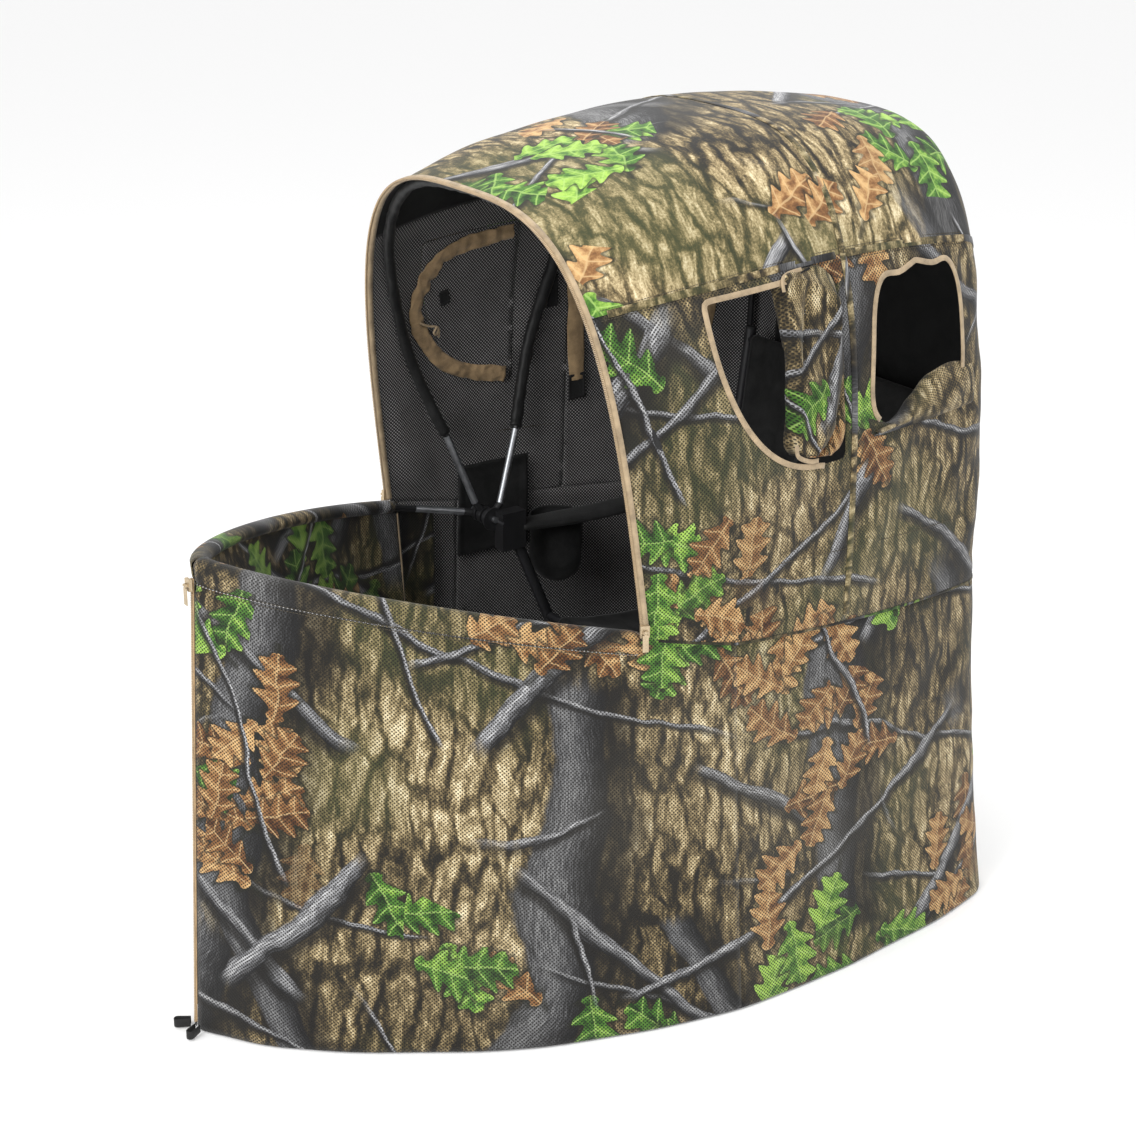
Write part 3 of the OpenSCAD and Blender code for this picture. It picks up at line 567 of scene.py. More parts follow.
def woodland_group():
    """The printed pattern: bark, trunks, branches and oak leaves, from a place on the cloth."""
    group = bpy.data.node_groups.new("woodland_print", "ShaderNodeTree")
    group.interface.new_socket("Vector", in_out="INPUT", socket_type="NodeSocketVector")
    group.interface.new_socket("Color", in_out="OUTPUT", socket_type="NodeSocketColor")
    g = Graph(group)
    x, y = g.split(g.make("NodeGroupInput").outputs[0])

    # bark: plates that run up and down, split by dark cracks
    warp = g.mul(g.sub(g.noise(g.joined(x, y), 9.0, 3.0, 0.6), 0.5), 1.6)
    plate = g.joined(g.add(g.mul(x, 30.0), warp), g.add(g.mul(y, 8.5), warp))
    cracks = g.make("ShaderNodeTexVoronoi", {"Vector": plate, "Scale": 1.0}, voronoi_dimensions="2D",
                    feature="DISTANCE_TO_EDGE").outputs["Distance"]
    grain = g.noise(g.joined(g.mul(x, 62.0), g.mul(y, 19.0)), 1.0, 6.0, 0.75, 0.5)
    patch = g.noise(g.joined(x, y, 7.0), 4.2, 2.0)
    speck = g.noise(g.joined(x, y, 9.0), 300.0, 2.0)
    tone = g.add(g.mul(grain, 1.25), g.mul(g.step(cracks, 0.02, 0.20), 0.20))
    tone = g.add(g.sub(tone, 0.30), g.add(g.mul(g.sub(patch, 0.5), 0.50), g.mul(g.sub(speck, 0.5), 0.35)))
    colour = g.ramp(tone, [(0.24, (0.010, 0.008, 0.005)), (0.38, (0.060, 0.044, 0.020)),
                           (0.50, (0.190, 0.140, 0.066)), (0.62, (0.430, 0.335, 0.180)),
                           (0.78, (0.780, 0.670, 0.440))])
    green_cast = g.step(g.noise(g.joined(x, y, 21.0), 2.6, 1.0), 0.48, 0.62)
    colour = g.mixed(g.mul(green_cast, 0.35), colour, (0.085, 0.100, 0.030, 1))

    # dark trunks, then leaves and branches from thick to thin
    brown = ((0.050, 0.017, 0.005), (0.225, 0.105, 0.036), (0.560, 0.350, 0.150), (0.560, 0.385, 0.190))
    green = ((0.006, 0.026, 0.003), (0.060, 0.165, 0.020), (0.310, 0.500, 0.080), (0.330, 0.500, 0.130))
    colour = limb(g, x, y, colour, 82, 0.47, 0.048, 0.055, 3.0, 0.54, 0.42)
    colour = limb(g, x, y, colour, 118, 0.62, 0.034, 0.060, 8.0, 0.48, 0.40)
    colour = limb(g, x, y, colour, -14, 0.25, 0.0055, 0.045, 33.0, 0.54, 0.80)
    colour = limb(g, x, y, colour, -38, 0.36, 0.0125, 0.040, 12.0, 0.52, 0.75)
    colour = limb(g, x, y, colour, 28, 0.27, 0.0060, 0.045, 17.0, 0.52, 0.95)
    colour = leaves(g, x, y, colour, 9.5, 0.056, 5.0, 2.0, 0.585, *green)
    colour = leaves(g, x, y, colour, 9.5, 0.054, 11.0, 9.0, 0.600, *brown)
    colour = limb(g, x, y, colour, 52, 0.43, 0.0150, 0.045, 23.0, 0.50, 1.0)
    colour = leaves(g, x, y, colour, 9.0, 0.058, 17.0, 2.0, 0.585, *green)
    colour = leaves(g, x, y, colour, 10.0, 0.050, 27.0, 9.0, 0.600, *brown)
    colour = limb(g, x, y, colour, -66, 0.31, 0.0045, 0.040, 29.0, 0.48, 1.0)
    g.put(g.make("NodeGroupOutput").inputs[0], colour)
    return group


WOODLAND = woodland_group()
HOLE_PITCH = 0.0060


def hole_pattern(g, place, pitch, size):
    """1 inside the holes of a perforated mesh, in staggered rows."""
    x, y = g.split(place)
    found = None
    for shift in (0.0, 0.5):
        dx = g.sub(g.math("FRACT", g.add(g.math("DIVIDE", x, pitch), shift)), 0.5)
        dy = g.sub(g.math("FRACT", g.add(g.math("DIVIDE", y, pitch), shift)), 0.5)
        away = g.math("SQRT", g.add(g.mul(dx, dx), g.mul(dy, dy)))
        hole = g.sub(1.0, g.step(away, size * 0.8, size * 1.2))
        found = hole if found is None else g.math("MAXIMUM", found, hole)
    return found


def camo(name, shift, holes=True, gain=1.0):
    """The printed cloth. shift moves the print, so that each panel is cut from another place."""
    material, g, shader = new_material(name, 0.78, sheen=0.12, specular=0.25)
    place = g.uv()
    moved = g.make("ShaderNodeVectorMath", {0: place, 1: (*shift, 0)}, operation="ADD").outputs[0]
    bent = g.make("ShaderNodeTexNoise", {"Vector": moved, "Scale": 7.0, "Detail": 2.0},
                  noise_dimensions="2D")
    offset = g.make("ShaderNodeVectorMath", {0: bent.outputs["Color"], 1: (0.5, 0.5, 0.5)},
                    operation="SUBTRACT")
    drift = g.make("ShaderNodeVectorMath", {0: offset.outputs[0], "Scale": 0.016}, operation="SCALE")
    moved = g.make("ShaderNodeVectorMath", {0: moved, 1: drift.outputs[0]}, operation="ADD").outputs[0]
    print_node = g.make("ShaderNodeGroup", node_tree=WOODLAND)
    g.put(print_node.inputs[0], moved)
    colour = print_node.outputs[0]
    faded = g.noise(place, 1.7, 2.0)
    colour = g.mixed(g.mul(g.step(faded, 0.45, 0.75), 0.10), colour, (0.36, 0.33, 0.26, 1))
    colour = g.mixed(1.0, colour, (gain, gain, gain, 1), "MULTIPLY")
    weave_x = g.make("ShaderNodeTexNoise", {"Vector": place, "Scale": 900.0, "Detail": 1.0}).outputs[0]
    height = g.mul(weave_x, 0.5)
    if holes:
        hole = hole_pattern(g, place, HOLE_PITCH, 0.24)
        # painted shade: the holes are coloured near black for the shaded inside of the blind seen through
        # them
        colour = g.mixed(g.mul(hole, 0.88), colour, (0.007, 0.006, 0.005, 1))
        height = g.sub(height, g.mul(hole, 0.8))
    g.put(shader.inputs["Base Color"], colour)
    g.put(shader.inputs["Normal"], g.bump(height, 0.35, 0.0012))
    return material


def black_mesh(name, hole_light=0.40):
    """Inside of the see-through cloth: black, with painted light: its holes are coloured grey for the light
    that shines through them.
    """
    material, g, shader = new_material(name, 0.62, sheen=0.15, specular=0.3)
    place = g.uv()
    hole = hole_pattern(g, place, HOLE_PITCH, 0.20)
    uneven_hole_light = g.noise(place, 6.0, 3.0, 0.6)
    # painted light: the holes are coloured grey, brighter in some places than others, where outside light
    # would shine through them
    level = g.mul(hole, g.add(0.55, g.mul(uneven_hole_light, 0.8)))
    streaks = g.noise(place, 22.0, 3.0, 0.6, 0.8)
    base = g.ramp(streaks, [(0.35, (0.006, 0.006, 0.007)), (0.75, (0.020, 0.019, 0.021))])
    g.put(shader.inputs["Base Color"], g.mixed(level, base, (hole_light, hole_light * 0.98, hole_light * 0.96, 1)))
    g.put(shader.inputs["Normal"], g.bump(g.sub(streaks, hole), 0.3, 0.001))
    return material


def black_cloth(name, base=0.012, rough=0.7, weave=900.0):
    """Plain black woven cloth with a fine twill."""
    material, g, shader = new_material(name, rough, sheen=0.06, specular=0.25)
    place = g.place()
    fine = g.noise(place, weave, 2.0)
    folds = g.noise(place, 26.0, 4.0, 0.6, 0.7)
    tone = g.add(g.mul(fine, 0.35), g.mul(folds, 0.65))
    g.put(shader.inputs["Base Color"], g.ramp(tone, [(0.35, (base * 0.5,) * 3), (0.75, (base * 2.2,) * 3)]))
    g.put(shader.inputs["Normal"], g.bump(tone, 0.45, 0.0015))
    return material


def zip_tape(name, tone=(0.40, 0.30, 0.185)):
    """Tan woven tape: a fine herringbone and grime."""
    material, g, shader = new_material(name, 0.72, sheen=0.2, specular=0.3)
    place = g.uv()
    x, y = g.split(place)
    rows = g.math("SINE", g.mul(x, 2 * math.pi / 0.0014))
    herring = g.math("SINE", g.add(g.mul(x, 3600.0), g.mul(g.math("ABSOLUTE", g.sub(y, 0.006)), 3600.0)))
    grime = g.noise(place, 35.0, 4.0, 0.65)
    value = g.add(g.mul(grime, 0.75), g.mul(g.add(rows, herring), 0.06))
    dark = tuple(c * 0.45 for c in tone)
    light = tuple(min(1.0, c * 1.35) for c in tone)
    g.put(shader.inputs["Base Color"], g.ramp(value, [(0.20, dark), (0.42, tone), (0.70, light)]))
    g.put(shader.inputs["Normal"], g.bump(g.add(rows, herring), 0.35, 0.0004))
    return material


def solid_material(name, colour, rough, metallic=0.0, grain=220.0, wear=0.15, depth=0.0004, lighter=1.5):
    """Metal, plastic or rubber with a fine grain and scuffs that change its gloss."""
    material, g, shader = new_material(name, rough, metallic=metallic)
    place = g.place()
    fine = g.noise(place, grain, 3.0, 0.6)
    scuff = g.noise(place, 31.0, 5.0, 0.7, 0.5)
    tone = g.add(g.mul(fine, 0.4), g.mul(scuff, 0.6))
    dark = tuple(c * 0.75 for c in colour)
    light = tuple(min(1.0, c * lighter) for c in colour)
    g.put(shader.inputs["Base Color"], g.ramp(tone, [(0.35, dark), (0.52, colour), (0.78, light)]))
    low, high = max(0.05, rough - wear), min(1.0, rough + wear)
    g.put(shader.inputs["Roughness"], g.math("MULTIPLY_ADD", scuff, high - low, low))
    g.put(shader.inputs["Normal"], g.bump(fine, 0.3, depth))
    return material


def bright_tube(name):
    """Drawn aluminium or steel tube: bright, with fine lines and dull spots."""
    material, g, shader = new_material(name, 0.30, metallic=1.0)
    place = g.place()
    lines = g.noise(place, 420.0, 2.0, 0.6, 3.0)
    dull = g.noise(place, 40.0, 4.0, 0.6)
    tone = g.add(g.mul(lines, 0.4), g.mul(dull, 0.6))
    g.put(shader.inputs["Base Color"], g.ramp(tone, [(0.3, (0.26, 0.27, 0.29)), (0.7, (0.52, 0.53, 0.55))]))
    g.put(shader.inputs["Roughness"], g.math("MULTIPLY_ADD", dull, 0.25, 0.30))
    g.put(shader.inputs["Normal"], g.bump(lines, 0.15, 0.0003))
    return material


CAMO_SKIRT = camo("camo_skirt", (0.0, 0.0))
CAMO_FAR = camo("camo_skirt_far", (3.1, 1.7))
CAMO_REAR = camo("camo_rear", (5.3, 0.4))
CAMO_WALL = {1: camo("camo_wall_right", (1.9, 2.3)), -1: camo("camo_wall_left", (6.7, 3.9))}
CAMO_ROOF = camo("camo_roof", (4.4, 6.1), holes=False)
CAMO_FLAP = camo("camo_flap", (8.3, 5.5), gain=0.9)
CAMO_SEAM = camo("camo_seam", (7.7, 8.1), holes=False, gain=0.8)
# The waist seam's cloth: the print darkened to a third, painted shade for the shadow in the fold of the
# seam.
SEAM_FOLD_SHADE = camo("camo_seam_fold_shade", (1.3, 0.2), holes=False, gain=0.35)
MESH_IN = black_mesh("black_mesh_inside")
BLACK_IN = black_cloth("black_coating_inside", 0.008, 0.6)
BLACK = black_cloth("black_cloth")
BLACK_SATIN = black_cloth("black_satin_sleeve", 0.008, 0.50, 500.0)
TAPE = zip_tape("tan_zip_tape")
TAPE_DARK = zip_tape("tan_zip_tape_inside", (0.42, 0.285, 0.150))
TEETH = solid_material("zip_teeth", (0.40, 0.29, 0.17), 0.35, 0.0, 500.0)
ZIP_METAL = solid_material("zip_slider_metal", (0.47, 0.37, 0.24), 0.38, 0.6, 300.0)
STEEL_BLACK = solid_material("black_powder_coat", (0.018, 0.018, 0.020), 0.42, 0.0, 900.0)
RUBBER = solid_material("black_rubber", (0.016, 0.016, 0.017), 0.72, 0.0, 600.0)
PLASTIC = solid_material("black_moulded_plastic", (0.014, 0.014, 0.015), 0.46, 0.0, 700.0)
GLASS_ROD = solid_material("black_pole", (0.012, 0.012, 0.013), 0.40, 0.0, 500.0)
BRIGHT = bright_tube("bright_tube")

# ---------------------------------------------------------------- pieces: skirts
SIDE_NAME = {1: "right", -1: "left"}


def fold_with_hood(piece):
    """Cloth of the front rides on the rim hoop when the hood folds back."""
    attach(piece, "rim_hoop")
    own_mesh(piece)


def skirt_ripple(points, uv):
    """Gentle folds: long ones down the cloth, slanting ones below the rim, waves at the hem."""
    down = np.clip(-uv[:, 1] / 0.7, 0, 1)
    free = smooth((-uv[:, 1] - 0.03) / 0.10)
    long_folds = wave(uv, 84, 0.9, 0.16, 1.5) * 0.0060
    slant = wave(uv, 52, 0.45, 0.07, 4.5) * 0.0040 * smooth(1 - down)
    small = wave(uv, 20, 0.09, 0.05, 7.5) * 0.0016
    puckers = wave(uv, 88, 0.30, 0.022, 8.5) * 0.0028 * np.exp(-down / 0.09)
    hem = wave(uv, 90, 3.0, 0.11, 9.5) * 0.0060 * down ** 3
    return (long_folds + slant + small + puckers + hem) * free - 0.006 * np.sin(np.pi * down) ** 2 * free


def skirt_grid(y_from, y_to, side, rows=84):
    """Points and cloth coordinates of a skirt, its rim rolled round the pole ahead of the hub."""
    arcs = np.linspace(arc_of(y_from), arc_of(y_to), max(4, int((arc_of(y_to) - arc_of(y_from)) / STEP)))
    ys = y_of(arcs)
    vs = np.linspace(0, 1, rows) ** 1.05
    panel = skirt_pt(ys[None, :], vs[:, None])
    rolled = smooth((-ys - 0.128) / 0.035)
    normal = plan_normal(ys)
    centre = np.stack([plan_x(ys), ys, seam_z(ys) - 0.004], -1) - normal * POLE_INSET
    top = panel[0]
    roll = []
    for angle in np.radians(np.linspace(222, 8, 15)):
        ring = centre + normal * (0.0150 * math.cos(angle)) + np.array([0, 0, 0.0110 * math.sin(angle)])
        roll.append(mix(top, ring, rolled[:, None]))
    seam = skirt_pt(ys, 0.044) - normal * 0.0035
    tail = mix(top, seam, rolled[:, None])
    pinch = np.exp(-((vs - 0.045) / 0.011) ** 2)[:, None, None] * rolled[None, :, None]
    panel = panel - normal[None] * pinch * 0.0050
    points = np.concatenate([tail[None], np.array(roll), panel[3:]])
    lengths = np.linalg.norm(np.diff(points, axis=0), axis=2)
    down = np.concatenate([np.zeros((1, len(ys))), np.cumsum(lengths, axis=0)])
    down = down - down[len(roll)]
    uv = np.stack([np.broadcast_to(arcs, down.shape), -down], -1)
    points = points * np.array([side, 1, 1])
    return points, uv


CORNER_CALM = 0.05  # width of the flat cloth beside the nose and the rear corners


def skirt_piece(name, y_from, y_to, side, material, rows=84):
    points, uv = skirt_grid(y_from, y_to, side, rows)
    m, n = points.shape[:2]
    faces = grid_faces(m, n)
    if side > 0:
        faces = faces[:, ::-1]
    # the nose zip and the rear corners are sewn, so the cloth lies flat beside them
    corner = np.minimum(uv[..., 0] - arc_of(-FRONT_L), arc_of(REAR_L) - uv[..., 0])
    calm = smooth(corner / CORNER_CALM).reshape(-1)
    uv = uv * np.array([side, 1])
    return cloth(name, points.reshape(-1, 3), faces, uv.reshape(-1, 2), material, MESH_IN,
                 ripple=skirt_ripple, calm=calm)


SKIRT_CAMO = {1: CAMO_SKIRT, -1: CAMO_FAR}
for side in (1, -1):
    name = SIDE_NAME[side]
    front = skirt_piece(f"front_skirt_cloth_{name}", -FRONT_L + 0.0004, 0, side, SKIRT_CAMO[side])
    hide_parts(f"front_skirt_{name}")
    fold_with_hood(front)
    rear = skirt_piece(f"side_skirt_cloth_{name}", 0, REAR_L, side, SKIRT_CAMO[side])
    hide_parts(f"side_skirt_{name}")
    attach(rear, "root")

back_half = float(plan_x(REAR_L))
back_x = np.linspace(-1, 1, int(2 * back_half / STEP))
back_v = np.linspace(0, 1, 70)
edge_at = skirt_pt(REAR_L, back_v)
spread = back_half + back_v * SIDE_FLARE * back_half / HALF_W
back_points = np.stack(np.broadcast_arrays(back_x[None, :] * spread[:, None], edge_at[:, None, 1],
                                           edge_at[:, None, 2]), -1)
back_uv = np.stack(np.broadcast_arrays(back_points[..., 0] + 1.3, back_points[..., 2] - TAIL_H), -1)
back_calm = smooth((spread[:, None] - np.abs(back_points[..., 0])) / CORNER_CALM).reshape(-1)
back_skirt = cloth("rear_skirt_cloth", back_points.reshape(-1, 3), grid_faces(*back_points.shape[:2]),
                   back_uv.reshape(-1, 2), CAMO_REAR, MESH_IN, ripple=skirt_ripple, calm=back_calm)
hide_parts("rear_skirt")
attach(back_skirt, "root")


# ---------------------------------------------------------------- pieces: hood walls and roof
def hood_ripple(points, uv):
    """Tension folds that fan out from the hub, and small slack between seams."""
    fan = wave(uv, 62, 0.5, 0.06, 12.5) * np.where(points[:, 0] < 0, 0.0075, 0.0048)
    cross = wave(uv, -50, 0.4, 0.08, 14.5) * 0.0036
    small = wave(uv, 10, 0.08, 0.04, 16.5) * 0.0022
    low = smooth((points[:, 2] - seam_z(points[:, 1])) / 0.05)
    high = smooth((roof_z(points[:, 1]) - points[:, 2]) / 0.1 + 0.35)
    return (fan + cross + small) * low * high


def roof_ripple(points, uv):
    return wave(uv, 85, 0.5, 0.09, 21.5) * 0.0032 + wave(uv, 20, 0.2, 0.08, 23.5) * 0.0020


def along_seam(side, ys, a):
    """Cloth coordinates (arc, z) of a line on the wall at section angle a."""
    p = hood_pt(ys, a)
    return np.stack([arc_of(p[:, 1]), p[:, 2]], -1)


def wall_outline(y_front, y_rear):
    """The outline of a wall bay in (arc, z); y_front and y_rear give y at a section angle."""
    angles = ROOF_SEAM * np.linspace(0, 1, 60) ** 1.7
    front_y = np.array([float(y_front(a)) for a in angles])
    rear_y = np.array([float(y_rear(a)) for a in angles])
    front = np.stack([arc_of(front_y), hood_pt(front_y, angles)[:, 2]], -1)
    rear = np.stack([arc_of(rear_y), hood_pt(rear_y, angles)[:, 2]], -1)
    low_y = y_of(np.linspace(front[0, 0], rear[0, 0], 60))
    top_y = y_of(np.linspace(rear[-1, 0], front[-1, 0], 60))
    low = along_seam(1, low_y, 0.0)
    top = along_seam(1, top_y, ROOF_SEAM)
    return np.concatenate([low[:-1], rear[:-1], top[:-1], front[::-1][:-1]])


def eased(path, reach=0.016, closed=False):
    """The path with its corners rounded, as sewn tape takes them."""
    path = spaced(path, 0.002, closed)
    count = int(reach / 0.002)
    kernel = np.hanning(2 * count + 3)[1:-1]
    kernel = kernel / kernel.sum()
    mode = dict(mode="wrap") if closed else dict(mode="reflect", reflect_type="odd")
    padded = np.pad(path, ((count, count), (0, 0)), **mode)
    return np.stack([np.convolve(padded[:, i], kernel, "valid") for i in range(2)], -1)


def d_outline(side, grow=0.0):
    edge = d_edge(np.linspace(0.0, 1, 40), side)
    reach_back = 0.238 if side > 0 else 0.190
    back = np.array([[edge[-1, 0] + reach_back, edge[-1, 1] + 0.012],
                     [edge[0, 0] + reach_back - 0.189, edge[0, 1] + 0.0005]])
    loop = eased(np.concatenate([edge, back]), closed=True)
    middle = loop.mean(0)
    return middle + (loop - middle) * (1 + grow)


def square_outline(side, grow=0.0):
    loop = square_edge(np.radians(np.arange(0, 360, 6)), side)
    middle = loop.mean(0)
    return middle + (loop - middle) * (1 + grow)


def to_arc(loop):
    return np.stack([arc_of(loop[:, 0]), loop[:, 1]], -1)


def wall_piece(name, outline, holes, side, outside, inside, ripple=hood_ripple, inset=0.0, lift=0.0):
    flat, tris = cut_sheet(outline, holes)
    points = wall_pt(y_of(flat[:, 0]), flat[:, 1], side, inset)
    points[:, 2] += lift
    faces = tris if side > 0 else tris[:, ::-1]
    uv = flat * np.array([side, 1])
    sewn = np.minimum.reduce([edge_distance(flat, loop) for loop in (outline, *holes)])
    calm = smooth((sewn - 0.004) / 0.035)
    return cloth(name, points, faces, uv, outside, inside, ripple=ripple, calm=calm)


def front_bay(piece):
    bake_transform(piece)


def rear_bay(piece):
    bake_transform(piece)


for side in (1, -1):
    name = SIDE_NAME[side]
    outline = wall_outline(opening_y, bay_y)
    wall = wall_piece(f"wall_cloth_front_{name}", outline, [to_arc(d_outline(side))], side,
                      CAMO_WALL[side], MESH_IN)
    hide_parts(f"hood_side_front_{name}")
    front_bay(wall)
    outline = wall_outline(bay_y, lambda a: REAR_L)
    wall = wall_piece(f"wall_cloth_rear_{name}", outline, [to_arc(square_outline(side))], side,
                      CAMO_WALL[side], MESH_IN)
    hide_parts(f"hood_side_rear_{name}")
    rear_bay(wall)


def roof_piece(name, y_front, y_rear, columns):
    angles = np.linspace(ROOF_SEAM, np.pi - ROOF_SEAM, 110)
    front = np.array([float(y_front(a)) for a in angles])
    rear = np.array([float(y_rear(a)) for a in angles])
    steps = np.linspace(0, 1, columns)
    ys = y_of(mix(arc_of(front)[:, None], arc_of(rear)[:, None], steps[None, :]))
    points = hood_pt(ys, angles[:, None])
    across = np.linalg.norm(np.diff(points, axis=0), axis=2).mean(1)
    over = np.concatenate([[0], np.cumsum(across)])
    uv = np.stack(np.broadcast_arrays(arc_of(ys), over[:, None]), -1)
    return cloth(name, points.reshape(-1, 3), grid_faces(*points.shape[:2]), uv.reshape(-1, 2),
                 CAMO_ROOF, BLACK_IN, ripple=roof_ripple)


roof = roof_piece("roof_cloth_front", opening_y, bay_y, 54)
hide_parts("roof_front")
front_bay(roof)
roof = roof_piece("roof_cloth_rear", bay_y, lambda a: REAR_L, 48)
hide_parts("roof_rear")
rear_bay(roof)

wall_angles = np.linspace(0, np.pi, 120)
rear_loop = hood_pt(REAR_L, wall_angles)[:, [0, 2]]
rear_flat, rear_tris = cut_sheet(rear_loop, [], 0.012)
rear_points = np.stack([rear_flat[:, 0], np.full(len(rear_flat), REAR_L), rear_flat[:, 1]], -1)
rear_wall = cloth("rear_wall_cloth", rear_points, rear_tris[:, ::-1], rear_flat, CAMO_REAR, BLACK_IN,
                  ripple=lambda p, uv: wave(uv, 70, 0.4, 0.1, 31.5) * 0.002)
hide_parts("rear_wall")
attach(rear_wall, "root")


# ---------------------------------------------------------------- seams
def wall_normals(ys, zs, side):
    d = 0.002
    ty = wall_pt(ys + d, zs, side) - wall_pt(ys - d, zs, side)
    tz = wall_pt(ys, zs + d, side) - wall_pt(ys, zs - d, side)
    n = np.cross(ty, tz) * side
    return n / np.linalg.norm(n, axis=1, keepdims=True)


def hood_normals(ys, angles):
    d = 0.002
    ty = hood_pt(ys + d, angles) - hood_pt(ys - d, angles)
    ta = hood_pt(ys, angles + d) - hood_pt(ys, angles - d)
    n = np.cross(ty, ta)
    return n / np.linalg.norm(n, axis=1, keepdims=True)


def seam_band(name, path, up, move, width=0.011, material=None, thick=0.0016):
    made = band(name, path, up, flat_profile(width, thick, 0, thick * 0.4), (material or CAMO_SEAM,))
    move(made)
    return made


for side in (1, -1):
    name = SIDE_NAME[side]
    for label, y0, y1, move in (("front", -0.176, 0.214, front_bay),
                                ("rear", 0.234, REAR_L - 0.002, rear_bay)):
        ys = y_of(np.linspace(arc_of(y0), arc_of(y1), 60))
        path = hood_pt(ys, ROOF_SEAM)
        up = hood_normals(ys, np.full(60, ROOF_SEAM))
        flip = np.array([side, 1, 1])
        seam_band(f"roof_seam_{label}_{name}", path * flip, up * flip, move)
    ys = y_of(np.linspace(arc_of(-0.128), arc_of(REAR_L), 120))
    path = skirt_pt(ys, 0.0, side) + np.array([0, 0, -0.001])
    up = plan_normal(ys) * np.array([side, 1, 1])
    # the waist seam band is coloured with painted shade, for the shadow in the seam's fold
    seam_band(f"waist_seam_{name}", path, up, lambda o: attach(o, "root"), 0.004, SEAM_FOLD_SHADE, 0.0012)
    angles = ROOF_SEAM * np.linspace(0.02, 1, 70) ** 1.7
    ys = bay_y(angles)
    zs = hood_pt(ys, angles)[:, 2]
    seam_band(f"bay_seam_{name}", wall_pt(ys, zs, side), wall_normals(ys, zs, side),
              lambda o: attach(o, "mid_hoop"), 0.012)
angles = np.linspace(ROOF_SEAM, np.pi - ROOF_SEAM, 110)
seam_band("bay_seam_roof", hood_pt(bay_y(angles), angles), hood_normals(bay_y(angles), angles),
          lambda o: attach(o, "mid_hoop"), 0.012)
angles = np.linspace(0.01, np.pi - 0.01, 160)
seam_band("rear_seam", hood_pt(REAR_L - 0.001, angles), np.array([0, 1.0, 0]),
          lambda o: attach(o, "root"), 0.012)


# ---------------------------------------------------------------- zips
def teeth_along(name, path, up, pitch, size, material):
    """A zip's coil: small blocks a pitch apart along a path."""
    line = spaced(path, pitch)
    along = np.linspace(0, 1, len(line))
    source = np.linspace(0, 1, len(path))
    ups = np.broadcast_to(np.asarray(up, float), np.asarray(path).shape)
    up_at = np.stack([np.interp(along, source, ups[:, i]) for i in range(3)], -1)
    t, side_v, top = frames_along(line, up_at)
    corners = np.array([[sx, sy, sz] for sx in (-1, 1) for sy in (-1, 1) for sz in (-1, 1)]) * 0.5
    box_faces = [(0, 1, 3, 2), (4, 6, 7, 5), (0, 4, 5, 1), (2, 3, 7, 6), (0, 2, 6, 4), (1, 5, 7, 3)]
    verts = (line[:, None] + t[:, None] * corners[None, :, :1] * size[0]
             + side_v[:, None] * corners[None, :, 1:2] * size[1]
             + top[:, None] * corners[None, :, 2:] * size[2])
    faces = [tuple(8 * i + k for k in f) for i in range(len(line)) for f in box_faces]
    return new_object(name, verts.reshape(-1, 3), faces, None, (material,), shade=False)


THREAD = solid_material("seam_thread", (0.055, 0.045, 0.028), 0.8, 0.0, 400.0)


def stitches(name, path, up, move):
    """A row of sewn stitches along a path."""
    made = teeth_along(name, path, up, 0.0046, (0.0030, 0.0009, 0.0008), THREAD)
    move(made)
    return made


for side in (1, -1):
    name = SIDE_NAME[side]
    flip = np.array([side, 1, 1])
    ys = y_of(np.linspace(arc_of(-FRONT_L + 0.004), arc_of(-0.165), 160))
    for row, v in enumerate((0.041, 0.049)):
        path = (skirt_pt(ys, v) - plan_normal(ys) * 0.0036) * flip
        stitches(f"rim_stitches_{row}_{name}", path, plan_normal(ys) * flip, fold_with_hood)
    ys = y_of(np.linspace(arc_of(-0.185), arc_of(REAR_L - 0.070), 160))
    for row, angle in enumerate((ROOF_SEAM - 0.020, ROOF_SEAM + 0.020)):
        angles = np.full(160, angle)
        split = ys < 0.224
        for label, chosen, move in (("front", split, front_bay), ("rear", ~split, rear_bay)):
            up = hood_normals(ys, angles)[chosen] * flip
            path = (hood_pt(ys, angles) + hood_normals(ys, angles) * 0.0010)[chosen] * flip
            stitches(f"roof_stitches_{row}_{label}_{name}", path, up, move)
    ys = y_of(np.linspace(arc_of(-0.125), arc_of(REAR_L - 0.065), 140))
    path = (hood_pt(ys, 0.05) + np.array([0.0010, 0, 0])) * flip
    stitches(f"waist_stitches_{name}", path, plan_normal(ys) * flip, lambda o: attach(o, "root"))

opening_angles = np.pi * (0.5 - 0.5 * np.cos(np.linspace(0.02, np.pi - 0.02, 220)))
opening_path = hood_pt(opening_y(opening_angles) - 0.0015, opening_angles) + np.array([0, 0, 0.001])
opening_up = hood_normals(opening_y(opening_angles), opening_angles)
tape = band("opening_zip_tape", opening_path, opening_up,
            [(-0.0050, 0.0003), (-0.0046, 0.0020), (0.0, 0.0028), (0.0046, 0.0020), (0.0054, -0.0005),
             (0.0042, -0.0032), (0.0, -0.0038), (-0.0042, -0.0028)], (TAPE,))
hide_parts("opening_zip")
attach(tape, "arch_hoop")
coil = teeth_along("opening_zip_teeth", opening_path + np.array([0, -0.0068, 0]), opening_up, 0.0026,
                   (0.0016, 0.0034, 0.0026), TEETH)
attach(coil, "arch_hoop")

nose_v = np.linspace(0.03, 0.985, 120)
nose_line = skirt_pt(-FRONT_L, nose_v)
nose_line[:, 0] = 0
nose_line[:, 1] -= 0.001
tape = band("nose_zip_tape", nose_line, np.array([0, -1.0, 0]), flat_profile(0.008, 0.0016), (TAPE_DARK,))
coil = teeth_along("nose_zip_teeth", nose_line + np.array([0, -0.0016, 0]), np.array([0, -1.0, 0]), 0.0026,
                   (0.0016, 0.0040, 0.0018), TEETH)
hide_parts("nose_zip")
for piece in (tape, coil):
    fold_with_hood(piece)


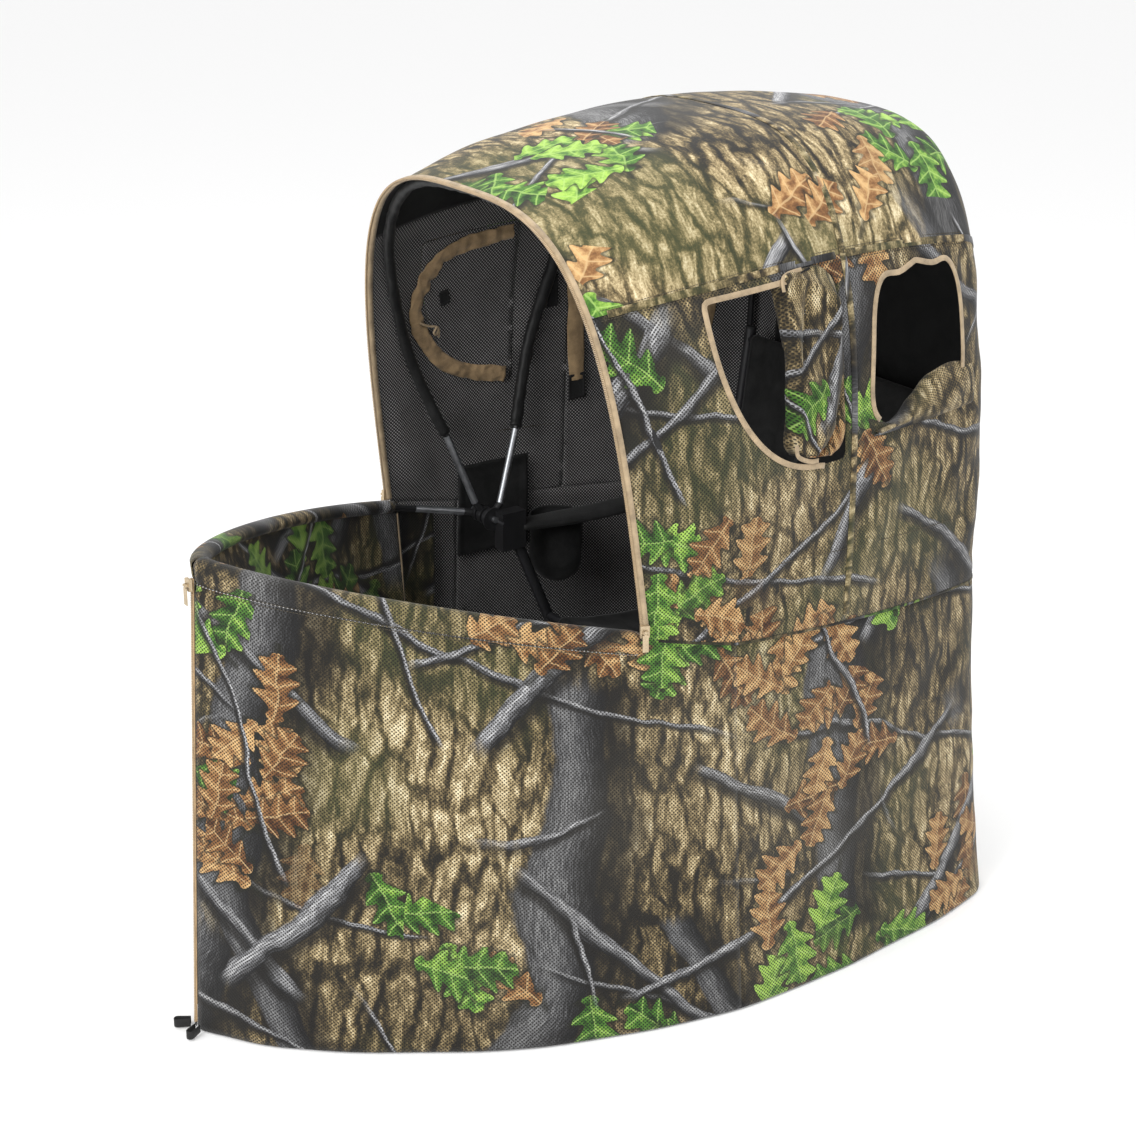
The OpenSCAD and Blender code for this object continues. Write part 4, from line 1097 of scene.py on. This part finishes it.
def window_tape(name, loop, side, width, move, inset=0.0, material=TAPE, thick=0.0022, lift=0.0008):
    """Tape round a window's edge, on the wall or inside it."""
    loop = spaced(loop, 0.006)
    path = wall_pt(loop[:, 0], loop[:, 1], side, inset)
    up = wall_normals(loop[:, 0], loop[:, 1], side)
    made = band(name, path, up, flat_profile(width, thick, 0, lift), (material,))
    move(made)
    return made


for side in (1, -1):
    name = SIDE_NAME[side]
    curve = np.concatenate([[[d_edge(0, side)[0] + 0.004, d_edge(0, side)[1] - 0.002]],
                            d_edge(np.linspace(0, 1, 60), side),
                            [[d_edge(1, side)[0] + 0.150, d_edge(1, side)[1] + 0.011]]])
    window_tape(f"window_zip_front_{name}", eased(curve), side, 0.0088, front_bay)
    ring = square_edge(np.radians(np.arange(-50, 231, 5)), side)
    window_tape(f"window_zip_rear_{name}", ring, side, 0.0088, rear_bay)

# ---------------------------------------------------------------- window flaps
def spline(points, count):
    """A smooth path through points."""
    points = np.asarray(points, float)
    at = np.arange(len(points))
    want = np.linspace(0, len(points) - 1, count)
    i = np.clip(want.astype(int), 0, len(points) - 2)
    f = (want - i)[:, None]
    slope = np.gradient(points, axis=0)
    p0, p1, m0, m1 = points[at[i]], points[at[i + 1]], slope[i], slope[i + 1]
    f2, f3 = f * f, f ** 3
    return (2 * f3 - 3 * f2 + 1) * p0 + (f3 - 2 * f2 + f) * m0 + (-2 * f3 + 3 * f2) * p1 + (f3 - f2) * m1


FLAP_GROWTH = 0.035  # a closed flap overlaps its window's edge, so no light shows round it
for kind, loop, move in (("front", d_outline(-1, FLAP_GROWTH), front_bay),
                         ("rear", square_outline(-1, FLAP_GROWTH), rear_bay)):
    flap = wall_piece(f"closed_flap_{kind}_left", to_arc(loop), [], -1, CAMO_WALL[-1], MESH_IN, inset=0.0026,
                      ripple=lambda p, uv: wave(uv, 70, 0.2, 0.05, 41.5) * 0.0018)
    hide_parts(f"window_flap_{kind}_left")
    move(flap)

# Right front flap: unzipped along its curve and folded back on itself, creased aslant
free_edge = spline([(0.128, 1.131), (0.102, 1.126), (0.106, 1.100), (0.109, 1.025), (0.115, 0.952),
                    (0.105, 0.885), (0.118, 0.862)], 90)
fixed_edge = spline([(0.176, 1.134), (0.196, 1.120), (0.206, 1.090), (0.208, 1.010), (0.210, 0.932),
                     (0.200, 0.874), (0.176, 0.856)], 90)
across = np.linspace(0, 1, 44)
flap_yz = mix(fixed_edge[:, None], free_edge[:, None], across[None, :, None])
creases = (((1.00, 0.13), (0.05, 0.36), 0.010, 0.085), ((0.55, 0.34), (0.95, 0.66), -0.009, 0.06),
           ((0.15, 0.45), (0.70, 0.98), 0.011, 0.09), ((0.10, 0.66), (0.45, 1.02), -0.008, 0.06),
           ((1.00, 0.50), (0.35, 0.74), 0.007, 0.07), ((0.35, 0.05), (0.85, 0.30), -0.005, 0.05))
u_at, v_at = np.meshgrid(across, np.linspace(0, 1, 90))
relief = np.zeros_like(u_at)
for start, end, height, spread_by in creases:
    start, end = np.array(start), np.array(end)
    line = end - start
    length = np.hypot(*line)
    along = ((u_at - start[0]) * line[0] + (v_at - start[1]) * line[1]) / length ** 2
    off = ((u_at - start[0]) * line[1] - (v_at - start[1]) * line[0]) / length
    fade = np.exp(-np.maximum(0, np.abs(along - 0.5) - 0.5) ** 2 / 0.02)
    relief += height * fade * np.exp(-(off / spread_by) ** 2) * np.where(off > 0, 1.0, 0.6)
hem = np.minimum(u_at / 0.12, 1) * np.minimum(v_at / 0.03, 1) * np.minimum((1 - v_at) / 0.03, 1)
turn_in = 0.030 * smooth((u_at - 0.86) / 0.14) ** 2
flap_points = wall_pt(flap_yz[..., 0], flap_yz[..., 1], 1, 0.001) + \
    wall_normals(flap_yz[..., 0].ravel(), flap_yz[..., 1].ravel(), 1).reshape(flap_yz.shape[:2] + (3,)) * \
    ((relief + 0.003) * hem - turn_in)[..., None]
flap_uv = np.stack([arc_of(flap_yz[..., 0]) * 1.7, flap_yz[..., 1]], -1)
flap = cloth("open_flap_front_right", flap_points.reshape(-1, 3), grid_faces(*flap_points.shape[:2]),
             flap_uv.reshape(-1, 2), CAMO_FLAP, MESH_IN)
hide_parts("window_flap_front_right")
front_bay(flap)


def open_tape(name, yz, width, move, lift=0.0, side=1, material=TAPE):
    """A tape that follows points (y, z) on a wall, raised by lift."""
    yz = spline(yz, 40)
    path = wall_pt(yz[:, 0], yz[:, 1], side) + wall_normals(yz[:, 0], yz[:, 1], side) * lift
    made = band(name, path, wall_normals(yz[:, 0], yz[:, 1], side), flat_profile(width, 0.0018), (material,))
    move(made)
    return made


open_tape("flap_zip_top_right",
          [(0.142, 1.131), (0.128, 1.130), (0.112, 1.127), (0.104, 1.120), (0.103, 1.105)],
          0.006, front_bay, 0.004)
open_tape("flap_zip_foot_right",
          [(0.104, 0.885), (0.106, 0.870), (0.116, 0.862), (0.132, 0.856), (0.146, 0.855)],
          0.007, front_bay, 0.003)

# Right rear flap: unzipped on three sides and slumped over the sill into the blind
sill = np.linspace(0, 1, 70)
sill_y = mix(0.262, 0.500, sill)
crest = spline([(0.262, 0.876), (0.270, 0.881), (0.301, 0.888), (0.336, 0.905),
                (0.385, 0.917), (0.423, 0.934), (0.466, 0.940), (0.500, 0.934)], 70)[:, 1]
rows = []
for t in np.linspace(0, 1, 52):
    climb = smooth(t / 0.52)
    drop = smooth((t - 0.46) / 0.54)
    z = mix(0.868, crest, climb) - drop * (0.075 + 0.02 * np.sin(5 * np.pi * sill))
    inset = mix(-0.004, 0.006, climb) + 0.026 * smooth((t - 0.42) / 0.3) - 0.008 * np.sin(np.pi * climb)
    lean = sill_y + 0.012 * np.sin(np.pi * t) * np.sin(2 * np.pi * sill + 0.7)
    rows.append(np.stack([lean, z, inset + 0 * z], -1))
rows = np.array(rows)
slump_n = wall_normals(rows[..., 0].ravel(), rows[..., 1].ravel(), 1).reshape(rows.shape)
slump = wall_pt(rows[..., 0], rows[..., 1], 1) - slump_n * rows[..., 2:]
slump_uv = np.stack([np.broadcast_to(arc_of(sill_y), rows.shape[:2]),
                     np.broadcast_to(np.linspace(0, 0.22, 52)[:, None], rows.shape[:2])], -1)


def slump_folds(points, uv):
    folds = wave(uv, 38, 0.20, 0.034, 44.5) * 0.0055 + wave(uv, -30, 0.14, 0.05, 46.5) * 0.003
    return folds * smooth(uv[:, 1] / 0.03)


flap = cloth("open_flap_rear_right", slump.reshape(-1, 3), grid_faces(*slump.shape[:2]),
             slump_uv.reshape(-1, 2), CAMO_FLAP, MESH_IN, ripple=slump_folds)
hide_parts("window_flap_rear_right")
rear_bay(flap)


# ---------------------------------------------------------------- inside of the left windows
def gathered_tape(name, yz, width, side, inset, material, move, ruffle=0.0060, pitch=0.015):
    """A wide tape sewn to the inside of a wall, gathered along both edges."""
    yz = spline(yz, 220)
    centre = wall_pt(yz[:, 0], yz[:, 1], side, inset)
    up = -wall_normals(yz[:, 0], yz[:, 1], side)
    _, across_v, _ = frames_along(centre, up)
    along = np.concatenate([[0], np.cumsum(np.linalg.norm(np.diff(centre, axis=0), axis=1))])
    offsets = np.linspace(-0.5, 0.5, 13)
    grid = []
    for k in offsets:
        wobble = np.array([noise.noise(Vector((s / pitch, k * 2.2, inset * 900))) for s in along])
        swell = np.array([noise.noise(Vector((s / 0.045, 5.5, inset * 700))) for s in along])
        size = width * (1 + 0.16 * swell)
        rise = ruffle * (0.35 + 1.3 * abs(k)) * wobble + 0.0030 * math.cos(k * math.pi)
        grid.append(centre + across_v * (k * size)[:, None] + up * rise[:, None])
    grid = np.array(grid)
    uv = np.stack(np.broadcast_arrays(along[None, :], (offsets * width)[:, None]), -1)
    made = cloth(name, grid.reshape(-1, 3), grid_faces(*grid.shape[:2])[:, ::-1], uv.reshape(-1, 2),
                 material, material, 0.001)
    move(made)
    return made


gathered_tape("window_zip_front_left", [(0.096, 1.064), (0.052, 1.060), (0.000, 1.054), (-0.045, 1.038),
                                        (-0.074, 1.005), (-0.090, 0.966), (-0.086, 0.930), (-0.062, 0.888),
                                        (-0.024, 0.850), (0.030, 0.826), (0.096, 0.812)],
              0.028, -1, 0.0065, TAPE_DARK, front_bay)
gathered_tape("window_zip_rear_left", [(0.226, 1.050), (0.228, 0.980), (0.233, 0.880), (0.239, 0.780)],
              0.030, -1, 0.0070, TAPE_DARK, rear_bay, 0.0015, 0.05)
gathered_tape("window_zip_rear_left_back", [(0.474, 1.050), (0.480, 0.980), (0.486, 0.900), (0.478, 0.840)],
              0.026, -1, 0.0070, TAPE_DARK, rear_bay, 0.0015, 0.05)


def tab(name, corners, inset, material, move, thick=0.0022, side=-1):
    """A small sewn patch on a wall, with a raised hem. corners are (y, z), going round."""
    corners = np.asarray(corners, float)
    count = 17
    s = np.linspace(0, 1, count)
    top = mix(corners[0], corners[1], s[:, None])
    foot = mix(corners[3], corners[2], s[:, None])
    yz = mix(top[None], foot[None], s[:, None, None])
    edge = np.minimum.reduce(np.broadcast_arrays(s[:, None], 1 - s[:, None], s[None, :], 1 - s[None, :]))
    rise = 0.0016 * (1 - smooth((edge - 0.06) / 0.05)) + 0.0014
    n = wall_normals(yz[..., 0].ravel(), yz[..., 1].ravel(), side).reshape(yz.shape[:2] + (3,))
    points = wall_pt(yz[..., 0], yz[..., 1], side, inset) - n * rise[..., None]
    uv = yz - yz.min((0, 1))
    faces = grid_faces(count, count)
    if side < 0:
        faces = faces[:, ::-1]
    made = cloth(name, points.reshape(-1, 3), faces, uv.reshape(-1, 2), material, material, -thick)
    move(made)
    return made


tab("toggle_tab_left",
    [(-0.046, 0.978), (-0.028, 0.982), (-0.022, 0.958), (-0.040, 0.953)], 0.004, BLACK, front_bay)
tab("hook_strip_left",
    [(0.172, 0.974), (0.192, 0.977), (0.196, 0.920), (0.176, 0.918)], 0.004, BLACK, front_bay)
tab("band_foot_left",
    [(0.222, 0.790), (0.254, 0.793), (0.255, 0.748), (0.223, 0.745)], 0.004, BLACK, rear_bay)

knot = [(-0.086, 0.934, 0.010), (-0.072, 0.928, 0.016), (-0.060, 0.926, 0.019), (-0.054, 0.921, 0.020),
        (-0.058, 0.912, 0.020), (-0.064, 0.916, 0.021), (-0.058, 0.925, 0.021), (-0.052, 0.918, 0.019),
        (-0.050, 0.905, 0.017)]
knot = spline(knot, 60)
knot_path = wall_pt(knot[:, 0], knot[:, 1], -1) - wall_normals(knot[:, 0], knot[:, 1], -1) * knot[:, 2:]
toggle = band("zip_cord_pull_left", knot_path, np.array([0.3, 0.2, 1.0]), round_profile(0.0021, 8), (TAPE,))
front_bay(toggle)

# ---------------------------------------------------------------- hub patches
for side in (1, -1):
    name = SIDE_NAME[side]
    s = np.linspace(0, 1, 25)
    patch_z = np.linspace(0.664, 0.500, 25)
    patch_y = mix(-0.004, 0.138, s)[None, :] + 0.0 * patch_z[:, None]
    low = np.clip((seam_z(patch_y) - patch_z[:, None]) / (seam_z(patch_y) - HEM_Z), 0, 1)
    walls = wall_pt(patch_y, np.maximum(patch_z[:, None], seam_z(patch_y)), side, 0.004)
    skirts = skirt_pt(patch_y, low, side) - np.array([side * 0.004, 0, 0])
    points = np.where((low > 0)[..., None], skirts, walls)
    edge = np.minimum.reduce(np.broadcast_arrays(s[:, None], 1 - s[:, None], s[None, :], 1 - s[None, :]))
    rise = 0.003 * (1 - smooth((edge - 0.05) / 0.03)) + 0.006
    points = points - np.array([side, 0, 0]) * rise[..., None]
    uv = np.stack([patch_y, np.broadcast_to(patch_z[:, None], patch_y.shape)], -1)
    faces = grid_faces(25, 25)
    patch = cloth(f"hub_patch_{name}", points.reshape(-1, 3), faces if side > 0 else faces[:, ::-1],
                  uv.reshape(-1, 2), BLACK, BLACK, 0.0015,
                  ripple=lambda p, t: wave(t, 60, 0.1, 0.02, 51.5) * 0.0012)
    if side > 0:
        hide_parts("hub_patches")
    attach(patch, "root")

# ---------------------------------------------------------------- the folded front panel
panel_arc = np.linspace(arc_of(-0.148), arc_of(-0.640), 70)
panel_y = y_of(panel_arc)
panel_n = plan_normal(panel_y)
drop = np.linspace(0, 1, 44)
curtain = []
for t in drop:
    bulge = mix(0.020, 0.040, math.sin(min(t, 1) * math.pi * 0.6))
    depth = bulge + 0.006 * np.sin(panel_arc * 42 + 3 * t) * t
    v = t * (0.46 - 0.10 * smooth((-panel_y - 0.30) / 0.3))
    base = skirt_pt(panel_y, v)
    curtain.append(base - panel_n * depth[:, None] + np.array([0, 0, -0.014]))
curtain = np.array(curtain) * np.array([-1, 1, 1])
curtain_uv = np.stack([np.broadcast_to(panel_arc, curtain.shape[:2]),
                       np.broadcast_to(drop[:, None] * 0.3, curtain.shape[:2])], -1)
panel = cloth("folded_front_panel", curtain.reshape(-1, 3), grid_faces(*curtain.shape[:2])[:, ::-1],
              curtain_uv.reshape(-1, 2), CAMO_FLAP, CAMO_FLAP,
              ripple=lambda p, uv: wave(uv, 70, 0.3, 0.05, 55.5) * 0.006 * smooth(uv[:, 1] / 0.05))
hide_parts("front_panel_flap")
fold_with_hood(panel)

edge_drop = np.linspace(0, 1, 40)
edge_path = curtain[np.clip((edge_drop * 43).astype(int), 0, 43), 0]
edge_zip = band("folded_panel_zip", edge_path, np.array([0.6, 0.8, 0]), flat_profile(0.010, 0.002), (TAPE,))
fold_with_hood(edge_zip)

# a second fold of the same panel, pushed behind the first, reaches back under the hub
second_arc = np.linspace(arc_of(-0.060), arc_of(-0.200), 26)
second_y = y_of(second_arc)
second_n = plan_normal(second_y)
second = np.array([skirt_pt(second_y, 0.02 + 0.40 * t) - second_n * (0.012 + 0.006 * math.sin(3 * t))
                   for t in drop]) * np.array([-1, 1, 1])
second_uv = np.stack([np.broadcast_to(second_arc, second.shape[:2]),
                      np.broadcast_to(drop[:, None] * 0.28, second.shape[:2])], -1)
behind = cloth("folded_front_panel_back", second.reshape(-1, 3), grid_faces(*second.shape[:2])[:, ::-1],
               second_uv.reshape(-1, 2), CAMO_FLAP, CAMO_FLAP,
               ripple=lambda p, uv: wave(uv, 80, 0.3, 0.04, 57.5) * 0.003)
fold_with_hood(behind)


# ---------------------------------------------------------------- pole sleeves
LUG_X = {"arch": 0.297, "mid": 0.281}


def hoop_pt(t, kind):
    """The arch or middle pole's line over its right leg; t = 1 on the ridge."""
    t = np.asarray(t, float)
    angle = np.pi / 2 * t * t
    s = fall(np.sin(angle))
    y = -0.198 * (1 - (1 - s) ** 1.5) if kind == "arch" else 0.215 * (1 - (1 - s) ** 2)
    p = hood_pt(y, angle, POLE_INSET)
    x = mix(LUG_X[kind], p[..., 0], smooth(s / 0.45))
    z = mix(HUB_Z, p[..., 2], smooth(3 * s / 0.45))
    return np.stack([x, y, z], -1)


def sleeve(name, path, body, seed, wide=0.0105, thick=0.0085):
    """A cloth sleeve round a pole, gathered along its length."""
    path = spaced(path, 0.0045)
    centre = np.array([0, 0.05, 0.95])
    _, side_v, top = frames_along(path, path - centre)
    along = np.concatenate([[0], np.cumsum(np.linalg.norm(np.diff(path, axis=0), axis=1))])
    angles = np.arange(14) * 2 * np.pi / 14
    rings = []
    for angle in angles:
        c = math.cos(angle)
        s = math.sin(angle)
        bumps = np.array([noise.noise(Vector((a / 0.016, c * 1.1, s * 1.1 + seed))) for a in along])
        slow = np.array([noise.noise(Vector((a / 0.07, c, s + seed + 9))) for a in along])
        r = 1 + 0.20 * bumps + 0.14 * slow
        rings.append(path + side_v * (wide * c * r)[:, None] + top * (thick * s * r)[:, None])
    rings = np.array(rings).transpose(1, 0, 2)
    m, n = rings.shape[:2]
    faces = [tuple(f) for f in grid_faces(m, n, closed=True)]
    faces += [tuple(range(n - 1, -1, -1)), tuple(range((m - 1) * n, m * n))]
    made = new_object(name, rings.reshape(-1, 3), faces, None, (BLACK_SATIN,))
    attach(made, body)
    return made


for kind, body in (("arch", "arch_hoop"), ("mid", "mid_hoop")):
    right = hoop_pt(np.linspace(0.215, 1, 160), kind)
    whole = np.concatenate([right, (right * np.array([-1, 1, 1]))[::-1][1:]])
    sleeve(f"{kind}_pole_sleeve", whole, body, 61.5 if kind == "arch" else 67.5)

# ---------------------------------------------------------------- chair fabric
ARM_X = 0.260
KNEE = np.array([0.440, 0.380])
TIP = np.array([0.512, 0.860])
BACK_UP = (TIP - KNEE) / np.linalg.norm(TIP - KNEE)
SEAT_RAIL = KNEE + BACK_UP * 0.022
TOP_RAIL = TIP - BACK_UP * 0.018
ARM_LEAN = (0.020 - 0.270) / (0.600 - 0.012)
FRONT_RAIL = np.array([0.270 + ARM_LEAN * (0.408 - 0.012), 0.408])


def sling(name, node, half, start, end, sag, wrap, body, seed):
    """Cloth slung between two rails and wrapped round both. start and end are (y, z) of the rails."""
    line = end - start
    length = float(np.linalg.norm(line))
    ahead = line / length
    up = np.array([-ahead[1], ahead[0]]) * wrap
    r = 0.0112
    path = [start + r * (-ahead * math.sin(a) - up * math.cos(a))
            for a in np.radians(np.linspace(-60, 178, 18))]
    inner = np.linspace(0.02, 0.98, 46)
    path += [start + line * t + up * r for t in inner]
    path += [end + r * (ahead * math.sin(a) + up * math.cos(a)) for a in np.radians(np.linspace(2, 240, 18))]
    path = np.array(path)
    along = np.concatenate([[0], np.cumsum(np.linalg.norm(np.diff(path, axis=0), axis=1))])
    t = np.clip(((path - start) @ ahead) / length, 0, 1)
    xs = np.linspace(-1, 1, 60)
    dip = sag * np.sin(np.pi * t)[:, None] * (1 - 0.55 * xs[None, :] ** 2)
    edge = 0.0022 * np.exp(-((np.abs(xs) - 0.955) / 0.02) ** 2)[None, :]
    points = np.zeros((len(path), 60, 3))
    points[..., 0] = xs[None, :] * (half - 0.010 * np.sin(np.pi * t)[:, None])
    points[..., 1] = path[:, None, 0] - up[0] * (dip - edge)
    points[..., 2] = path[:, None, 1] - up[1] * (dip - edge)
    uv = np.stack(np.broadcast_arrays(points[..., 0], along[:, None]), -1)
    faces = grid_faces(*points.shape[:2])
    if wrap < 0:
        faces = faces[:, ::-1]

    def folds(p, c):
        inside = smooth((c[:, 1] - 0.05) / 0.05) * smooth((along[-1] - 0.05 - c[:, 1]) / 0.05)
        return (wave(c, 78, 0.3, 0.05, seed) * 0.003 + wave(c, 20, 0.12, 0.04, seed + 3) * 0.0015) * inside

    made = cloth(name, points.reshape(-1, 3), faces, uv.reshape(-1, 2), BLACK, BLACK, 0.0018, ripple=folds)
    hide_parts(node)
    if body:
        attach(made, body)
    return made


seat = sling("seat_cloth", "seat_sling", 0.214, FRONT_RAIL, SEAT_RAIL, 0.030, 1, None, 71.5)
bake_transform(seat)
sling("back_cloth", "back_sling", 0.218, SEAT_RAIL, TOP_RAIL, -0.012, 1, "chair_back", 75.5)

arm_y = np.linspace(0.045, 0.440, 60)
for side in (1, -1):
    name = SIDE_NAME[side]
    t = (arm_y - 0.045) / 0.395
    height = mix(0.583, 0.604, t) - 0.014 * np.sin(np.pi * t)
    wide = mix(0.020, 0.029, smooth(t / 0.25))
    outline = np.array([(math.cos(a), math.sin(a)) for a in np.arange(20) * 2 * np.pi / 20])
    outline = np.sign(outline) * np.abs(outline) ** np.array([0.55, 0.8])
    thick = 0.0075 + 0.001 * np.array([noise.noise(Vector((y / 0.03, side * 3.0, 2.0))) for y in arm_y])
    middle = mix(ARM_X + 0.004, ARM_X - 0.012, smooth(t))
    rings = np.zeros((60, 20, 3))
    rings[..., 0] = side * (middle[:, None] + wide[:, None] * outline[None, :, 0])
    rings[..., 1] = arm_y[:, None]
    rings[..., 2] = height[:, None] + thick[:, None] * outline[None, :, 1]
    faces = [tuple(f) for f in grid_faces(60, 20, closed=True)] + [tuple(range(19, -1, -1)),
                                                                  tuple(range(59 * 20, 60 * 20))]
    if side < 0:
        faces = [f[::-1] for f in faces]
    arm = new_object(f"arm_band_{name}", rings.reshape(-1, 3), faces, None, (BLACK,))
    if side > 0:
        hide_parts("arm_bands")
    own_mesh(arm)
    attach(arm, "root")

CUP = np.array([-0.312, 0.154, 0.568])
cup_angles = np.arange(48) * 2 * np.pi / 48
cup_rows = []
for t in np.linspace(0, 1, 40):
    if t < 0.62:
        depth, r = t / 0.62 * 0.074, 0.0455
    else:
        turn = (t - 0.62) / 0.38 * np.pi / 2
        depth, r = 0.074 + 0.046 * math.sin(turn), 0.0455 * math.cos(turn) ** 0.85
    hem_out = 0.0014 * math.exp(-((depth - 0.006) / 0.005) ** 2)
    sway = np.array([noise.noise(Vector((math.cos(a) * 1.6, math.sin(a) * 1.6, depth * 34)))
                     for a in cup_angles])
    r_at = np.maximum(0.0006, (r + hem_out) * (1 + 0.045 * sway))
    cup_rows.append(np.stack([CUP[0] + r_at * np.cos(cup_angles), CUP[1] + r_at * np.sin(cup_angles),
                              np.full(48, CUP[2] - depth)], -1))
cup_points = np.array(cup_rows)
cup_faces = grid_faces(40, 48, closed=True)[:, ::-1]
cup_uv = np.stack(np.meshgrid(np.linspace(0, 0.12, 40), cup_angles * 0.046, indexing="ij"), -1)
cup = cloth("cup_pocket", cup_points.reshape(-1, 3), cup_faces, cup_uv.reshape(-1, 2), BLACK, BLACK, 0.002)
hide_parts("cup_holder")
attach(cup, "root")

# ---------------------------------------------------------------- stake loops
for side in (1, -1):
    turn = math.radians(-60)
    bend = [(0.021 + 0.0052 * math.sin(a), 0.0055 * math.cos(a)) for a in np.radians(range(10, 171, 16))]
    run = np.concatenate([np.linspace([0.001, 0.0042], [0.019, 0.0055], 10), bend,
                          np.linspace([0.019, -0.0055], [0.001, -0.0042], 10)])
    base = np.array([0.011, -FRONT_L - NOSE_FLARE - 0.003])
    c = math.cos(turn)
    s = math.sin(turn)
    flat = np.stack([base[0] + run[:, 0] * c - run[:, 1] * s, base[1] + run[:, 0] * s + run[:, 1] * c], -1)
    path = np.concatenate([flat * np.array([side, 1]), np.full((len(flat), 1), 0.0092)], 1)
    loop = band(f"stake_loop_{SIDE_NAME[side]}", path, np.array([0, 0, 1.0]),
                flat_profile(0.0013, 0.0135), (BLACK,))
    if side > 0:
        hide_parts("stake_loops")
    fold_with_hood(loop)

# ---------------------------------------------------------------- finishes of the carried-over nodes
FINISH = {
    STEEL_BLACK: ["arm_leg_right", "arm_leg_left", "rear_floor_bar", "seat_front_rail", "back_leg_right",
                  "back_leg_left", "front_floor_bar", "seat_rear_rail", "back_top_rail"],
    RUBBER: ["rear_foot_caps", "front_foot_caps", "rear_hoop_feet", "back_tube_plugs"],
    PLASTIC: ["hub_blocks", "rim_lugs", "arch_lugs", "mid_lugs", "nose_elbow", "chair_pivot_washers"],
    GLASS_ROD: ["rim_pole_right", "rim_pole_left", "arch_pole", "mid_pole", "rear_hoop"],
    BRIGHT: ["rim_ferrules", "arch_ferrules", "mid_ferrules", "hub_pins", "chair_pivot_bolts"],
    ZIP_METAL: ["nose_slider", "nose_pull", "opening_sliders", "opening_pull_right", "opening_pull_left"],
}
for material, names in FINISH.items():
    for name in names:
        mesh = NODES[name].data
        mesh.materials.clear()
        mesh.materials.append(material)

# ---------------------------------------------------------------- floor, light and camera
floor_mesh = bpy.data.meshes.new("floor")
FLOOR_REACH = 40
floor_corners = [(x * FLOOR_REACH, y * FLOOR_REACH, -0.001) for x, y in ((-1, -1), (1, -1), (1, 1), (-1, 1))]
floor_mesh.from_pydata(floor_corners, [], [(0, 1, 2, 3)])
floor = bpy.data.objects.new("floor", floor_mesh)
bpy.context.scene.collection.objects.link(floor)
floor_material, _, floor_shader = new_material("pale_floor", 0.9, specular=0.1)
floor_shader.inputs["Base Color"].default_value = (0.93, 0.93, 0.93, 1)
floor_mesh.materials.append(floor_material)

world = bpy.data.worlds.new("studio")
world.use_nodes = True
world.node_tree.nodes["Background"].inputs["Color"].default_value = (1, 1, 1, 1)
world.node_tree.nodes["Background"].inputs["Strength"].default_value = 1.0
bpy.context.scene.world = world


def area_light(name, place, aim, size, power):
    light = bpy.data.lights.new(name, "AREA")
    light.shape = "RECTANGLE"
    light.size, light.size_y = size
    light.energy = power
    lamp = bpy.data.objects.new(name, light)
    lamp.location = place
    lamp.rotation_euler = (Vector(aim) - Vector(place)).to_track_quat("-Z", "Y").to_euler()
    bpy.context.scene.collection.objects.link(lamp)


area_light("key", (1.2, -3.4, 3.0), (0, 0, 0.6), (2.2, 2.2), 110)
area_light("fill", (4.0, 0.6, 2.0), (0, 0, 0.6), (2.0, 2.5), 45)
area_light("top", (-0.3, 0.4, 3.6), (0, 0, 0.8), (2.0, 2.0), 40)

AZIMUTH = math.radians(55.6086)
ELEVATION = math.radians(20.7266)
DISTANCE = 3.9494
TARGET = Vector((-0.0394, HUB_Y - 0.0075, 0.5866))
camera_data = bpy.data.cameras.new("camera")
camera_data.sensor_width = 36
camera_data.lens = 77.955
camera = bpy.data.objects.new("camera", camera_data)
bpy.context.scene.collection.objects.link(camera)
camera.location = TARGET + DISTANCE * Vector((math.sin(AZIMUTH) * math.cos(ELEVATION),
                                              -math.cos(AZIMUTH) * math.cos(ELEVATION), math.sin(ELEVATION)))
camera.rotation_euler = (TARGET - camera.location).to_track_quat("-Z", "Y").to_euler()
bpy.context.scene.camera = camera
bpy.context.scene.view_settings.view_transform = "Standard"
